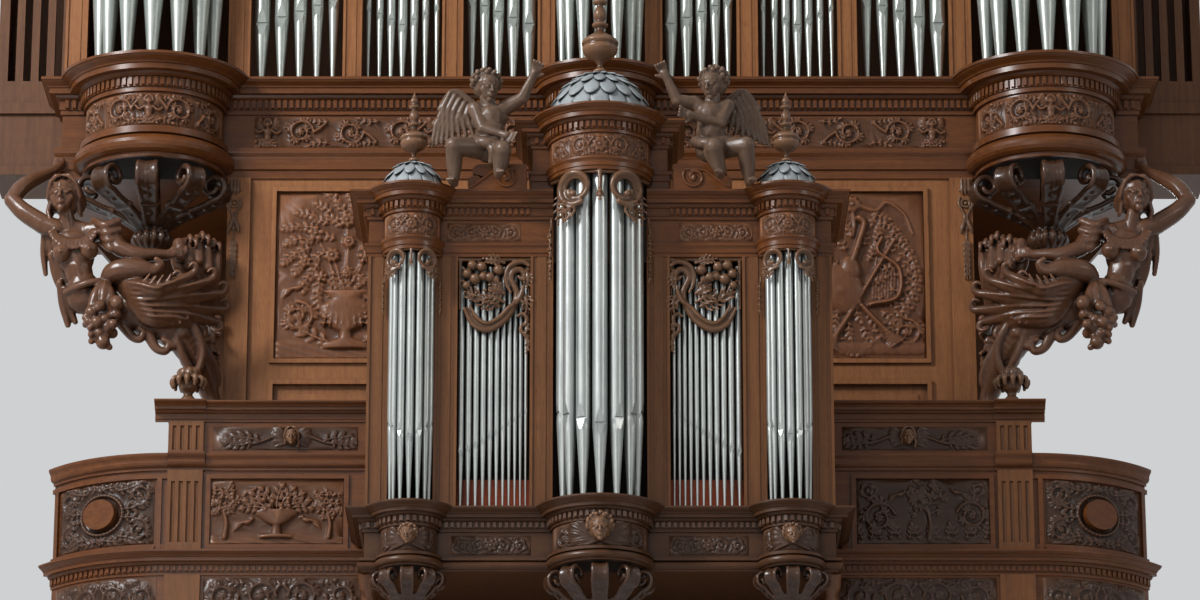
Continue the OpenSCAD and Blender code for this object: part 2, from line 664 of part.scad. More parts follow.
module flat_pipes(n, w, d0, d1, foot0, foot1, top) {
    total = (d0 + d1) / 2 * n;
    gap = (w - total) / n;
    for (i = [0:n - 1]) {
        d = d0 + (d1 - d0) * i / (n - 1);
        x = gap / 2 + i * gap + d0 * i + (d1 - d0) * i * i / (2 * (n - 1));
        f = foot0 + (foot1 - foot0) * i / (n - 1);
        translate([x + d / 2, 0, 0]) pipe(d, f, top - f - 12);
    }
}
module front_centre_pipes() {
    color("silver") translate([0, -front_out, front_z])
        tower_pipes(7, centre_arc, front_step, centre_pipe_d, front_open_h * 0.288, 60,
            front_open_h + centre_rise);
}
module side_pipes(s) {
    color("silver") translate([s * side_x, -front_out, front_z])
        tower_pipes(7, side_arc, front_step, side_pipe_d, front_open_h * 0.271, 45, front_open_h);
}
module front_flat(s) {
    x0 = front_posts_x[0][1];
    w = front_posts_x[1][0] - x0;
    color("silver") mirror([s, 0, 0]) translate([x0 + w, -front_out + 75, front_z]) mirror([1, 0, 0])
        flat_pipes(flat_pipe_n, w, flat_pipe_d, flat_pipe_min, front_open_h * 0.237,
            front_open_h * 0.394, front_open_h - 60);
}

// A limb between two round ends
module limb(a, ra, b, rb) {
    hull() {
        translate(a) sphere(r = ra, $fn = 10);
        translate(b) sphere(r = rb, $fn = 10);
    }
}
// A folded wing behind the shoulder
module wing(h) {
    outline = [[-0.02, 0.5], [0.12, 0.68], [0.25, 0.77], [0.34, 0.74], [0.42, 0.55], [0.5, 0.34], [0.53,
        0.22], [0.45, 0.24],
        [0.32, 0.3], [0.18, 0.34], [0.05, 0.38]];
    translate([0, h * 0.12, 0]) rotate([90, 0, 0]) translate([0, 0, -h * 0.03]) linear_extrude(h * 0.06)
        polygon(outline * h);
}
// A seated child with its inner hand raised and the other one before its body
module cherub(h, knee, foot, hand) {
    hip = [0, 0, 0.15 * cos(18)] * h;
    chest = [0, -0.03, 0.46] * h;
    limb(hip, h * 0.15, chest, h * 0.14);
    limb(chest, h * 0.08, [0.02, -0.04, 0.64] * h, h * 0.075);
    limb([0.02, -0.06, 0.75] * h, h * 0.135, [0.015, -0.08, 0.68] * h, h * 0.11);
    limb([-0.14, -0.03, 0.57] * h, h * 0.075, [0.14, -0.03, 0.55] * h, h * 0.075);
    limb([-0.14, -0.03, 0.57] * h, h * 0.07, [-0.3, -0.08, 0.6] * h, h * 0.056);
    limb([-0.3, -0.08, 0.6] * h, h * 0.056, [-0.4, -0.12, 0.8] * h, h * 0.038);
    limb([0.14, -0.03, 0.55] * h, h * 0.07, [0.07, -0.13, 0.33] * h, h * 0.056);
    limb([0.07, -0.13, 0.33] * h, h * 0.056, hand * h, h * 0.038);
    limb([-0.04, -0.02, 0.15] * h, h * 0.11, knee * h, h * 0.082);
    limb(knee * h, h * 0.08, foot * h, h * 0.046);
    limb(foot * h, h * 0.046, (foot + [-0.02, -0.12, -0.012]) * h, h * 0.034);
    limb([0.06, -0.02, 0.15] * h, h * 0.11, [0.31, -0.18, 0.12] * h, h * 0.082);
    limb([0.31, -0.18, 0.12] * h, h * 0.08, [0.34, -0.1, -0.18] * h, h * 0.046);
    limb([0.34, -0.1, -0.18] * h, h * 0.046, [0.37, -0.22, -0.19] * h, h * 0.034);
    wing(h);
}
module cherub_brackets() {
    w = front_half * 0.255;
    t = 300;
    outline = concat([[0, 0], [w, 0]], arc(w - 66, 66, 66, -40, 150, 10), [[w - 150, bracket_h * 0.5]],
        arc(w - 110, bracket_h * 0.72, bracket_h * 0.28, -20, 90, 6), [[0, bracket_h]]);
    color("saddlebrown") both_sides() translate([block_half + 50, -front_out - 10, head_top])
        rotate([90, 0, 0]) translate([0, 0, -t / 2]) linear_extrude(t) polygon(outline);
}
module cherub_at() {
    translate([block_half + 390, -front_out - 140, head_top + bracket_h + seat]) children();
}
module cherub_left() {
    color("saddlebrown") mirror([1, 0, 0]) cherub_at()
        cherub(cherub_h, [-0.12, -0.26, 0.05], [-0.08, -0.2, -0.15], [-0.12, -0.2, 0.22]);
}
module cherub_right() {
    color("saddlebrown") cherub_at()
        cherub(cherub_h, [0.02, -0.28, 0.07], [0.08, -0.2, -0.15], [-0.16, -0.22, 0.39]);
}

// Great case
module stage_front() {
    z0 = deck_top;
    high = [stage_h * 0.5803, stage_h * 0.39];
    middle = [stage_h * 0.2752, stage_h * 0.2477];
    low = [stage_h * 0.0459, stage_h * 0.1835];
    fields = [[2440, 1380, high[0], high[1]], [2440, 1380, middle[0], middle[1]],
        [2440, 1380, low[0], low[1]]];
    inner = [[760, 1300, high[0], high[1]], [760, 1300, low[0], stage_h * 0.4771]];
    color("sienna") translate([0, great_y, 0]) {
        difference() {
            translate([-stage_half, 0, z0]) cube([2 * stage_half, wall_t, stage_h]);
            for (s = [-1, 1], p = concat(fields, inner))
                translate([s * p[0] - p[1] / 2, -1, z0 + p[2]]) cube([p[1], wall_t * 0.4 + 1, p[3]]);
        }
        both_sides() {
            translate([stage_half - stage_post_w, -45, z0]) cube([stage_post_w, 46, stage_h]);
            for (p = fields) {
                translate([p[0], 0, z0 + p[2] - 40]) raised_frame(p[1] + 80, p[3] + 80, 32);
                translate([p[0] - p[1] / 2 + 90, 8, z0 + p[2] + 90]) cube([p[1] - 180, wall_t * 0.4,
                    p[3] - 180]);
            }
        }
    }
}
module stage_side_walls() {
    color("sienna") both_sides() translate([stage_half, great_y + wall_t, deck_top])
        rotate([0, 0, 90]) framed_wall(great_d - 2 * wall_t, stage_h, wall_t, 2, 3, 180);
}
module stage_back_wall() {
    color("sienna") translate([stage_half, gallery_d, deck_top]) rotate([0, 0, 180])
        framed_wall(2 * stage_half, stage_h, wall_t, 6, 3, 180);
}
module great_entablature() {
    line = concat(architrave_line(great_arch_h, 70), [[0, great_arch_h], [0, great_arch_h + great_frieze_h]],
        raise(dentil_cornice_line(great_cornice_h, great_cornice_p), 0, great_arch_h + great_frieze_h));
    inner = great_arch_h + great_frieze_h + great_cornice_h - 60;
    color("sienna") translate([0, great_y, stage_top]) difference() {
        union() {
            mitred(line, upper_half, great_d);
            half_drum(great_base_line(), middle_r);
            both_sides() translate([tower_x, 0, 0]) half_drum(great_base_line(), tower_r);
        }
        translate([-upper_half + 150, 150, 60]) cube([2 * upper_half - 300, great_d - 300, inner - 60]);
        both_sides() translate([upper_half, wing_back - 35 - seat, -1]) cube([great_cornice_p + 10,
            wing_d + 35 + 2 * seat, inner + 62]);
    }
}
function great_base_line() = concat(torus_line(great_arch_h, 70),
    [[0, great_arch_h], [0, great_arch_h + great_frieze_h]],
    raise(dentil_cornice_line(great_cornice_h, great_cornice_p + 60), 0, great_arch_h + great_frieze_h));
module great_culots() {
    color("saddlebrown") both_sides() translate([tower_x, great_y, stage_top])
        culot(tower_r * 0.95, 560, 110, 5);
}
// A winged figure that leans out from the corner, with a leg wrapped in leaves. Each row is a limb:
// its first end and radius, then its second end and radius, measured from the top of the corner post.
figure_limbs = [
    [[1285, -510, -1370], 180, [1315, -555, -1275], 150],
    [[1330, -540, -1220], 135, [1365, -560, -1100], 145],
    [[1380, -570, -1000], 165, [1415, -570, -860], 165],
    [[1250, -570, -735], 95, [1590, -565, -685], 98],
    [[1445, -570, -760], 82, [1490, -610, -560], 72],
    [[1500, -620, -480], 118, [1510, -620, -385], 135],
    [[1500, -700, -980], 85, [1250, -690, -960], 85],
    [[1700, -560, -660], 100, [2030, -480, -380], 78],
    [[2030, -480, -380], 78, [1690, -170, 10], 52],
    [[1150, -590, -720], 100, [960, -690, -940], 80],
    [[960, -690, -940], 80, [520, -620, -980], 52],
    [[520, -620, -980], 52, [420, -620, -960], 48],
    [[1220, -500, -1370], 165, [840, -500, -1515], 188],
    [[840, -500, -1515], 188, [510, -460, -1645], 178],
    [[510, -460, -1645], 178, [340, -395, -1780], 152],
    [[340, -395, -1780], 152, [210, -280, -2000], 130],
    [[210, -280, -2000], 130, [110, -190, -2220], 90],
    [[380, -500, -1570], 90, [1000, -650, -1225], 75],
    [[380, -500, -1570], 90, [700, -740, -1160], 60],
    [[380, -500, -1570], 90, [450, -690, -1090], 60],
    [[380, -500, -1570], 90, [220, -520, -1010], 60],
    [[380, -500, -1570], 90, [120, -170, -1370], 60],
    [[120, -170, -1370], 60, [410, -370, -780], 85],
    [[120, -170, -1370], 60, [190, -220, -600], 80],
    [[1090, -670, -1260], 55, [1080, -750, -1620], 140],
    [[1080, -750, -1620], 140, [1080, -770, -1870], 75],
    [[1650, -500, -720], 60, [1330, -420, -1420], 90]
];
module caryatid() {
    foot = [-10, -45 - 52 * cos(18) - seat, -2420];
    palm = [upper_half - stage_half + 10, -38.5 - 46 * cos(18) - seat, 90];
    for (l = figure_limbs) limb(l[0], l[1], l[2], l[3]);
    limb([110, -190, -2220], 90, foot, 52);
    limb([1690, -170, 10], 52, palm, 46);
}
module caryatid_left() {
    color("saddlebrown") mirror([1, 0, 0]) caryatid_at();
}
module caryatid_right() {
    color("saddlebrown") caryatid_at();
}
module caryatid_at() {
    translate([stage_half, great_y, stage_top]) caryatid();
}
module rear_brackets() {
    reach = upper_half - stage_half - 130;
    color("saddlebrown") both_sides() translate([stage_half, gallery_d - 260, 0]) rotate([90, 0, 0])
        linear_extrude(160)
        polygon(concat([[0, deck_top + reach]], [for (i = [0:8]) let (t = i / 8)
            [reach * t, deck_top + reach + (stage_h - reach) * pow(t, 0.6)]], [[0, stage_top]]));
}
module great_posts() {
    color("peru") translate([0, great_y, great_z]) both_sides() {
        for (i = [0:2]) front_post(great_posts_x[i][0], great_posts_x[i][1], flat_open_h, great_post_d);
        for (i = [3, 4]) front_post(great_posts_x[i][0], great_posts_x[i][1], flat_open_h + tower_rise,
            great_post_d);
    }
}
module great_walls() {
    h = flat_open_h + tower_rise;
    color("sienna") both_sides() {
        translate([upper_half, great_y + great_post_d, great_z]) rotate([0, 0, 90])
            framed_wall(great_d - great_post_d - wall_t, h, wall_t, 2, 4, 180);
        translate([great_posts_x[3][0], great_y + great_post_d, flat_top])
            cube([wall_t, great_d - great_post_d - wall_t, tower_head_z - flat_top]);
    }
    color("sienna") translate([0, gallery_d, great_z]) {
        rotate([0, 0, 180]) translate([-great_posts_x[3][0], 0, 0])
            framed_wall(2 * great_posts_x[3][0], flat_open_h, wall_t, 6, 2, 180);
        both_sides() translate([upper_half, 0, 0]) rotate([0, 0, 180])
            framed_wall(upper_half - great_posts_x[3][0], h, wall_t, 2, 4, 160);
    }
}
module great_wings() {
    w = wing_w;
    z0 = great_z - wing_drop;
    h = wing_drop + wing_h;
    d = wing_d;
    pitch = (w - 2 * wall_t) / slot_n;
    color("sienna") both_sides() translate([upper_half, great_y + wing_back, z0]) {
        difference() {
            cube([w, d, h]);
            translate([wall_t, wall_t, wall_t]) cube([w - 2 * wall_t, d - 2 * wall_t, h - 2 * wall_t]);
            for (i = [0:slot_n - 1]) translate([wall_t + pitch * (i + 0.5) - slot_w / 2, -1,
                wing_drop + 250])
                cube([slot_w, wall_t + 2, wing_h - 500]);
        }
        translate([0, 0, h]) intersection() {
            mitred(dentil_cornice_line(240, 130), w, d);
            translate([0, -150, 0]) cube([w + 200, d + 150, 300]);
        }
        translate([0, -35, 0]) cube([w, 35, 90]);
        translate([0, -35, wing_drop - 100]) cube([w, 35, 110]);
    }
}
module great_flat_heads() {
    half = great_posts_x[3][0];
    opening = great_posts_x[0][0];
    color("sienna") translate([0, great_y, flat_head_z]) difference() {
        straight(flat_head_line(flat_head_h, 170), great_d, -half, half);
        translate([-half + 150, great_post_d + 60, -1]) cube([2 * half - 300,
            great_d - great_post_d - 210, flat_head_h - 60]);
        translate([-opening, -200, -1]) cube([2 * opening, 200 + great_post_d + 61, flat_head_h + 2]);
    }
}
module great_tower_heads() {
    half = (upper_half - great_posts_x[3][0]) / 2;
    line = flat_head_line(flat_head_h, 230);
    opening = great_posts_x[0][0];
    d = great_d * 0.6;
    color("sienna") translate([0, great_y, 0]) {
        both_sides() translate([great_posts_x[3][0] + half, 0, tower_head_z]) difference() {
            union() {
                mitred(line, half, great_d);
                translate([tower_x - great_posts_x[3][0] - half, 0, 0]) half_drum(line, tower_r + 50);
            }
            translate([-half + 120, 120, -1]) cube([2 * half - 240, great_d - 240, flat_head_h - 60]);
        }
        difference() {
            union() {
                translate([0, 0, middle_head_z]) mitred(concat([[0, flat_top - middle_head_z]], line),
                    610, d);
                translate([0, 0, middle_head_z]) half_drum(line, middle_r + 20);
            }
            translate([-opening, -300, flat_top - 1]) cube([2 * opening, great_post_d + 360,
                middle_head_z - flat_top + 1]);
            translate([-510, 150, flat_top - 1]) cube([1020, d - 250, middle_top - flat_top - 60]);
        }
    }
}
module great_domes() {
    color("slategray") translate([0, great_y, 0]) {
        both_sides() translate([tower_x, 0, tower_top]) dome(tower_r * 1.04, tower_dome_h);
        translate([0, 0, middle_top]) dome(middle_r * 1.04, tower_dome_h * 0.75);
    }
}
module great_finials() {
    color("saddlebrown") translate([0, great_y, 0]) {
        both_sides() translate([tower_x, 0, tower_top + tower_dome_h]) finial(tower_finial_h, 170);
        translate([0, 0, middle_top + tower_dome_h * 0.75]) finial(tower_finial_h * 0.8, 140);
    }
}
module great_shades() {
    color("saddlebrown") translate([0, great_y, 0]) {
        both_sides() translate([tower_x, 0, 0])
            tower_shade(tower_arc + tower_pipe_d / 2 + shade_t / 2 + 6, tower_head_z, 620);
        tower_shade(middle_arc + middle_pipe_d / 2 + shade_t / 2 + 6, middle_head_z, 440);
        both_sides() for (i = [0:2]) {
            x0 = great_posts_x[i][1];
            x1 = great_posts_x[i + 1][0];
            translate([x1, 20, flat_head_z]) mirror([1, 0, 0]) flat_shade(x1 - x0);
        }
    }
}
module great_tower(s) {
    color("silver") translate([s * tower_x, great_y, great_z])
        tower_pipes(7, tower_arc, great_step, tower_pipe_d, flat_open_h * 0.297, 70,
            flat_open_h + tower_rise);
}
module great_middle_tower_pipes() {
    color("silver") translate([0, great_y, great_z])
        tower_pipes(7, middle_arc, great_step, middle_pipe_d, flat_open_h * 0.236, 60,
            flat_open_h + middle_rise);
}
module great_flats() {
    top = flat_open_h - 60;
    low = flat_open_h * 0.194;
    high = flat_open_h * 0.273;
    p = great_posts_x;
    color("silver") translate([0, great_y + 130, great_z]) {
        translate([p[2][1], 0, 0]) translate([p[3][0] - p[2][1], 0, 0]) mirror([1, 0, 0])
            flat_pipes(5, p[3][0] - p[2][1], great_flat_d, great_flat_d * 0.7, low, high, top);
        translate([p[0][1], 0, 0]) flat_pipes(5, p[1][0] - p[0][1], great_flat_d * 0.9,
            great_flat_d * 0.62, low, high, top);
        inner_flat((p[1][1] + p[2][0]) / 2, p[2][0] - p[1][1], low, top);
    }
}
module inner_flat(x, w, low, top) {
    pitch = w / 7;
    for (k = [-3:3]) translate([x + k * pitch, 0, 0])
        pipe(great_small_d * (1 - 0.13 * abs(k)), low + 62 * abs(k), top - low - 62 * abs(k) - 12);
}

gallery_soffit();
gallery_joists();
gallery_beams();
gallery_deck();
gallery_cornice();
parapet_panels();
parapet_end(1);  // parapet_end_left
parapet_end(0);  // parapet_end_right
pilasters();
handrail();
upper_screen();
screen_urns();
front_base();
front_floor();
front_culots();
front_struts();
front_windchest();
front_posts();
front_side_walls();
front_back_wall();
front_head();
front_domes();
front_finials();
front_tower_shades();
front_flat_shades();
front_centre_pipes();
side_pipes(-1);  // front_left_tower_pipes
side_pipes(1);  // front_right_tower_pipes
front_flat(1);  // front_left_flat_pipes
front_flat(0);  // front_right_flat_pipes
cherub_brackets();
cherub_left();
cherub_right();
stage_front();
stage_side_walls();
stage_back_wall();
great_entablature();
great_culots();
caryatid_left();
caryatid_right();
rear_brackets();
great_posts();
great_walls();
great_wings();
great_flat_heads();
great_tower_heads();
great_domes();
great_finials();
great_shades();
great_tower(-1);  // great_left_tower_pipes
great_tower(1);  // great_right_tower_pipes
great_middle_tower_pipes();
mirror([1, 0, 0]) great_flats();  // great_left_flat_pipes
great_flats();  // great_right_flat_pipes
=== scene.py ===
import math

import bmesh
import bpy
import numpy as np
from mathutils import Matrix, Vector


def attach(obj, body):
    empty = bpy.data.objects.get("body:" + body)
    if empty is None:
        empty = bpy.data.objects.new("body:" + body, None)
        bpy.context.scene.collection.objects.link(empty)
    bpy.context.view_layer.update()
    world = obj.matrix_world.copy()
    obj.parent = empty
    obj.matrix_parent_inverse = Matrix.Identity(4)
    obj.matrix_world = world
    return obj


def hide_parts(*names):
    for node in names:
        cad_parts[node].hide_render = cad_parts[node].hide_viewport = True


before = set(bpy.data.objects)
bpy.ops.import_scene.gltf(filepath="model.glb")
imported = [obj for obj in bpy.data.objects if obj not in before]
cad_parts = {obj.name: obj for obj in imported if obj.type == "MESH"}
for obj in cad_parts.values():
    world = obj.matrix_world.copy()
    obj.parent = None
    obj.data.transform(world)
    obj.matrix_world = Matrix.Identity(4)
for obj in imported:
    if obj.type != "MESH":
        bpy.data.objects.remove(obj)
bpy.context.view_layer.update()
scene = bpy.context.scene

# Standpoint: the church floor in front of the gallery, far below the pipes and looking up,
# with a long lens, so that the case stands nearly upright as in the photograph.
lens = bpy.data.cameras.new("view_from_nave")
lens.lens = 144.0
lens.sensor_width = 36.0
lens.clip_end = 300.0
eye = bpy.data.objects.new("view_from_nave", lens)
tilt = math.radians(18.0)
away = 44.04
aimed_at = 3.90
eye.location = (0.0, -away * math.cos(tilt), aimed_at - away * math.sin(tilt))
eye.rotation_euler = (math.radians(90.0) + tilt, 0.0, 0.0)
scene.collection.objects.link(eye)
scene.camera = eye

# Light: a broad soft window light from high on the left, a weaker one from the right, a low
# frontal fill and a lamp for the plain back, over a pale world.
scene.view_settings.view_transform = "Standard"


def soft_lamp(name, place, aim, size, watts, tint):
    lamp = bpy.data.lights.new(name, "AREA")
    lamp.shape = "DISK"
    lamp.size = size
    lamp.energy = watts
    lamp.color = tint
    holder = bpy.data.objects.new(name, lamp)
    holder.location = place
    holder.rotation_euler = (Vector(aim) - Vector(place)).to_track_quat("-Z", "Y").to_euler()
    scene.collection.objects.link(holder)


soft_lamp("window_left", (-17.0, -13.0, 17.0), (0.0, 0.0, 5.5), 7.0, 6240.0, (0.96, 0.98, 1.0))
soft_lamp("window_right", (19.0, -16.0, 13.0), (0.0, 0.0, 5.0), 6.0, 546.0, (1.0, 0.97, 0.92))
soft_lamp("nave_fill", (-8.0, -25.0, 5.5), (0.0, 0.0, 5.0), 10.0, 600.0, (1.0, 0.98, 0.95))
soft_lamp("rear_fill", (6.0, 22.0, 14.0), (0.0, 3.0, 6.0), 10.0, 3380.0, (0.96, 0.98, 1.0))


# Floor and backdrop of the studio: a round pale floor at the gallery's underside. What looks at it
# directly, in a reflection or through glass also sees a little pale glow, so it stays pale far out.
class Wire:
    # One socket of a finish, on which shader maths is written as plain expressions.
    def __init__(self, finish, socket):
        self.finish = finish
        self.socket = socket

    def maths(self, operation, first, second=0.0):
        return self.finish.node("ShaderNodeMath", {"operation": operation}, {0: first, 1: second})

    def __add__(self, other):
        return self.maths("ADD", self, other)

    def __radd__(self, other):
        return self.maths("ADD", other, self)

    def __sub__(self, other):
        return self.maths("SUBTRACT", self, other)

    def __rsub__(self, other):
        return self.maths("SUBTRACT", other, self)

    def __mul__(self, other):
        return self.maths("MULTIPLY", self, other)

    def __rmul__(self, other):
        return self.maths("MULTIPLY", other, self)


class Finish:
    # One procedural material with its surface shader, built on Object coordinates.
    def __init__(self, name):
        self.material = bpy.data.materials.new(name)
        self.material.use_nodes = True
        self.tree = self.material.node_tree
        self.surface = self.tree.nodes["Principled BSDF"]
        self.place = self.node("ShaderNodeTexCoord", {}, {}, "Object")

    def node(self, kind, settings, sockets, output=0):
        made = self.tree.nodes.new(kind)
        for key, value in settings.items():
            if key == "stops":
                ramp = made.color_ramp
                while len(ramp.elements) < len(value):
                    ramp.elements.new(0.5)
                for element, (where, colour) in zip(ramp.elements, value):
                    element.position = where
                    element.color = (*colour, 1.0)
            else:
                setattr(made, key, value)
        for key, value in sockets.items():
            if isinstance(value, Wire):
                self.tree.links.new(value.socket, made.inputs[key])
            else:
                made.inputs[key].default_value = value
        return Wire(self, made.outputs[output])

    def stretched(self, scale):
        return self.node("ShaderNodeMapping", {}, {"Vector": self.place, "Scale": scale})

    def noise(self, where, scale, detail, rough):
        return self.node("ShaderNodeTexNoise", {},
                         {"Vector": where, "Scale": scale, "Detail": detail, "Roughness": rough})

    def ramp(self, amount, stops):
        return self.node("ShaderNodeValToRGB", {"stops": stops}, {"Fac": amount})

    def blend(self, amount, first, second, how="MIX"):
        return self.node("ShaderNodeMix", {"data_type": "RGBA", "blend_type": how, "clamp_factor": True},
                         {0: amount, 6: first, 7: second}, 2)

    def bump(self, height, strength, distance):
        return self.node("ShaderNodeBump", {}, {"Height": height, "Strength": strength, "Distance": distance})

    def wear(self, key, value):
        if isinstance(value, Wire):
            self.tree.links.new(value.socket, self.surface.inputs[key])
        else:
            self.surface.inputs[key].default_value = value


pale_grey = (0.62, 0.63, 0.64, 1.0)
glow_share = 0.55
floor_mesh = bpy.data.meshes.new("studio_floor")
floor_shape = bmesh.new()
bmesh.ops.create_circle(floor_shape, cap_ends=True, segments=96, radius=34.0)
bmesh.ops.translate(floor_shape, verts=floor_shape.verts, vec=(0.0, 0.0, -0.004))
floor_shape.to_mesh(floor_mesh)
floor_shape.free()
floor = bpy.data.objects.new("studio_floor", floor_mesh)
scene.collection.objects.link(floor)
pale = Finish("studio_pale")
pale.wear("Base Color", (0.62, 0.62, 0.61, 1.0))
pale.wear("Roughness", 0.95)
under = pale.node("ShaderNodeNewGeometry", {}, {}, "Backfacing")
seen = pale.node("ShaderNodeLightPath", {}, {}, "Is Camera Ray")
for also in ("Is Glossy Ray", "Is Transmission Ray"):
    seen = seen.maths("MAXIMUM", seen, pale.node("ShaderNodeLightPath", {}, {}, also))
glow = pale.node("ShaderNodeEmission", {}, {"Color": pale_grey, "Strength": 1.0})
plain = Wire(pale, pale.surface.outputs[0])
lit = pale.node("ShaderNodeMixShader", {}, {0: seen * glow_share, 1: plain, 2: glow})
clear = pale.node("ShaderNodeBsdfTransparent", {}, {})
joined = pale.node("ShaderNodeMixShader", {}, {0: under, 1: lit, 2: clear})
pale.tree.links.new(joined.socket, pale.tree.nodes["Material Output"].inputs["Surface"])
floor_mesh.materials.append(pale.material)

world = bpy.data.worlds.new("church_air")
scene.world = world
world.use_nodes = True
air = world.node_tree
ground = air.nodes["Background"]
ground.inputs["Color"].default_value = (0.80, 0.86, 0.93, 1.0)
ground.inputs["Strength"].default_value = 0.17
backdrop = air.nodes.new("ShaderNodeBackground")
backdrop.inputs["Color"].default_value = pale_grey
backdrop.inputs["Strength"].default_value = 1.0
ray = air.nodes.new("ShaderNodeLightPath")
looking = ray.outputs["Is Camera Ray"]
for also in ("Is Glossy Ray", "Is Transmission Ray"):
    most = air.nodes.new("ShaderNodeMath")
    most.operation = "MAXIMUM"
    air.links.new(looking, most.inputs[0])
    air.links.new(ray.outputs[also], most.inputs[1])
    looking = most.outputs[0]
either = air.nodes.new("ShaderNodeMixShader")
air.links.new(looking, either.inputs[0])
air.links.new(ground.outputs[0], either.inputs[1])
air.links.new(backdrop.outputs[0], either.inputs[2])
air.links.new(either.outputs[0], air.nodes["World Output"].inputs["Surface"])


# Oak of the case: quarter-sawn boards, stained red-brown and waxed. Grain runs along the
# board, pores show as fine dark streaks, and painted shade darkens the corners and hollows.
def oak(name, light, dark, run, rough, hollow_shading, coat, figure=1.0, reach=0.11, sheen_wear_and_crease_shade=0.0):
    # Grain along run; the two amounts set how far painted shade darkens the hollows, and how far creases
    # get painted shade and raised edges a paler tone, part rubbed wear and part painted highlight.
    wood = Finish(name)
    rings = wood.noise(wood.stretched([1.3 if axis == run else 22.0 for axis in "xyz"]), 1.0, 4.0, 0.6)
    pores = wood.noise(wood.stretched([9.0 if axis == run else 260.0 for axis in "xyz"]), 1.0, 2.0, 0.5)
    tone = wood.noise(wood.place, 0.8, 2.0, 0.5)
    mottle = wood.noise(wood.place, 14.0, 3.0, 0.55)
    grain = rings * (0.75 * figure) + tone * 0.25 + 0.375 * (1.0 - figure)
    body = wood.ramp(grain, [(0.28, dark), (0.72, light)])
    streak = wood.ramp(pores, [(0.30, (0.45, 0.42, 0.40)), (0.48, (1.0, 1.0, 1.0))])
    body = wood.blend(0.65, body, streak, "MULTIPLY")
    shade = wood.ramp(mottle, [(0.3, (0.80, 0.80, 0.80)), (0.7, (1.0, 1.0, 1.0))])
    body = wood.blend(0.5, body, shade, "MULTIPLY")
    # Painted shade: the colour darkens in the hollows and corners of each piece, out to the given reach.
    hollow = wood.node("ShaderNodeAmbientOcclusion", {"samples": 4, "only_local": True},
                       {"Distance": reach}, "AO")
    painted_hollow_shade = wood.ramp(hollow, [(0.25, (0.10, 0.075, 0.06)), (0.85, (1.0, 1.0, 1.0))])
    body = wood.blend(hollow_shading, body, painted_hollow_shade, "MULTIPLY")
    if sheen_wear_and_crease_shade:
        # Painted shade in the concave creases; convex edges painted paler, part rubbed wear and part painted
        # highlight.
        edge = wood.node("ShaderNodeNewGeometry", {}, {}, "Pointiness")
        painted_crease_shade = wood.ramp(edge, [(0.43, (0.22, 0.18, 0.16)), (0.505, (1.0, 1.0, 1.0))])
        rubbed_sheen_mask = wood.ramp(edge, [(0.515, (0.0, 0.0, 0.0)), (0.60, (1.0, 1.0, 1.0))])
        worn_sheen_tone = (*(min(1.0, 1.9 * part + 0.03) for part in light), 1.0)
        body = wood.blend(sheen_wear_and_crease_shade, body, painted_crease_shade, "MULTIPLY")
        body = wood.blend(rubbed_sheen_mask * (0.8 * sheen_wear_and_crease_shade), body, worn_sheen_tone)
    wood.wear("Base Color", body)
    wood.wear("Roughness", rough + 0.18 * (mottle - 0.5) + 0.10 * (0.5 - pores))
    wood.wear("Coat Weight", coat)
    wood.wear("Coat Roughness", 0.20)
    wood.wear("Specular IOR Level", 0.22)
    wood.wear("Normal", wood.bump(pores * 0.5 + rings * 0.5, 0.35, 0.0012))
    return wood.material


oak_rail = oak("oak_moulding", (0.185, 0.060, 0.015), (0.096, 0.029, 0.008), "x",
               rough=0.33, hollow_shading=0.7, coat=0.168)
oak_board = oak("oak_board", (0.196, 0.073, 0.025), (0.112, 0.038, 0.014), "z",
                rough=0.40, hollow_shading=0.6, coat=0.09)
oak_post = oak("oak_post_light", (0.362, 0.150, 0.055), (0.238, 0.088, 0.032), "z",
               rough=0.42, hollow_shading=0.55, coat=0.072)
oak_front_post = oak("oak_post_brown", (0.219, 0.088, 0.032), (0.131, 0.049, 0.018), "z",
                     rough=0.40, hollow_shading=0.6, coat=0.09)
oak_dark = oak("oak_dark_carving", (0.086, 0.037, 0.018), (0.040, 0.018, 0.010), "x",
               rough=0.27, hollow_shading=0.8, coat=0.36, figure=0.7, reach=0.07, sheen_wear_and_crease_shade=0.6)
oak_carved = oak("oak_carving", (0.181, 0.086, 0.040), (0.100, 0.045, 0.022), "x",
                 rough=0.30, hollow_shading=0.85, coat=0.24, figure=0.7, reach=0.07, sheen_wear_and_crease_shade=0.8)
oak_base = oak("oak_base", (0.115, 0.046, 0.018), (0.062, 0.025, 0.011), "x",
               rough=0.40, hollow_shading=0.8, coat=0.072, figure=0.7)
oak_side = oak("oak_side", (0.154, 0.063, 0.026), (0.088, 0.035, 0.015), "z", rough=0.45, hollow_shading=0.6, coat=0.06)
oak_side_y = oak("oak_strut", (0.231, 0.096, 0.042), (0.138, 0.051, 0.023), "y",
                 rough=0.33, hollow_shading=0.55, coat=0.21)
pine = oak("pine_boards", (0.323, 0.223, 0.127), (0.231, 0.146, 0.081), "x", rough=0.6, hollow_shading=0.4, coat=0.0)
lacquer = oak("windchest_lacquer", (0.431, 0.081, 0.027), (0.308, 0.054, 0.019), "x",
              rough=0.4, hollow_shading=0.4, coat=0.12)
# Painted shade: near-black oak for the back wall inside the front case and the discs under the drums, where
# only shade is seen.
painted_shade_oak = oak("unlit_interior", (0.035, 0.023, 0.017), (0.017, 0.012, 0.009), "z",
               rough=0.7, hollow_shading=0.3, coat=0.0)


def cover(finish, *nodes):
    # One finish over every board of the named nodes.
    for node in nodes:
        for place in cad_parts[node].material_slots:
            place.material = finish


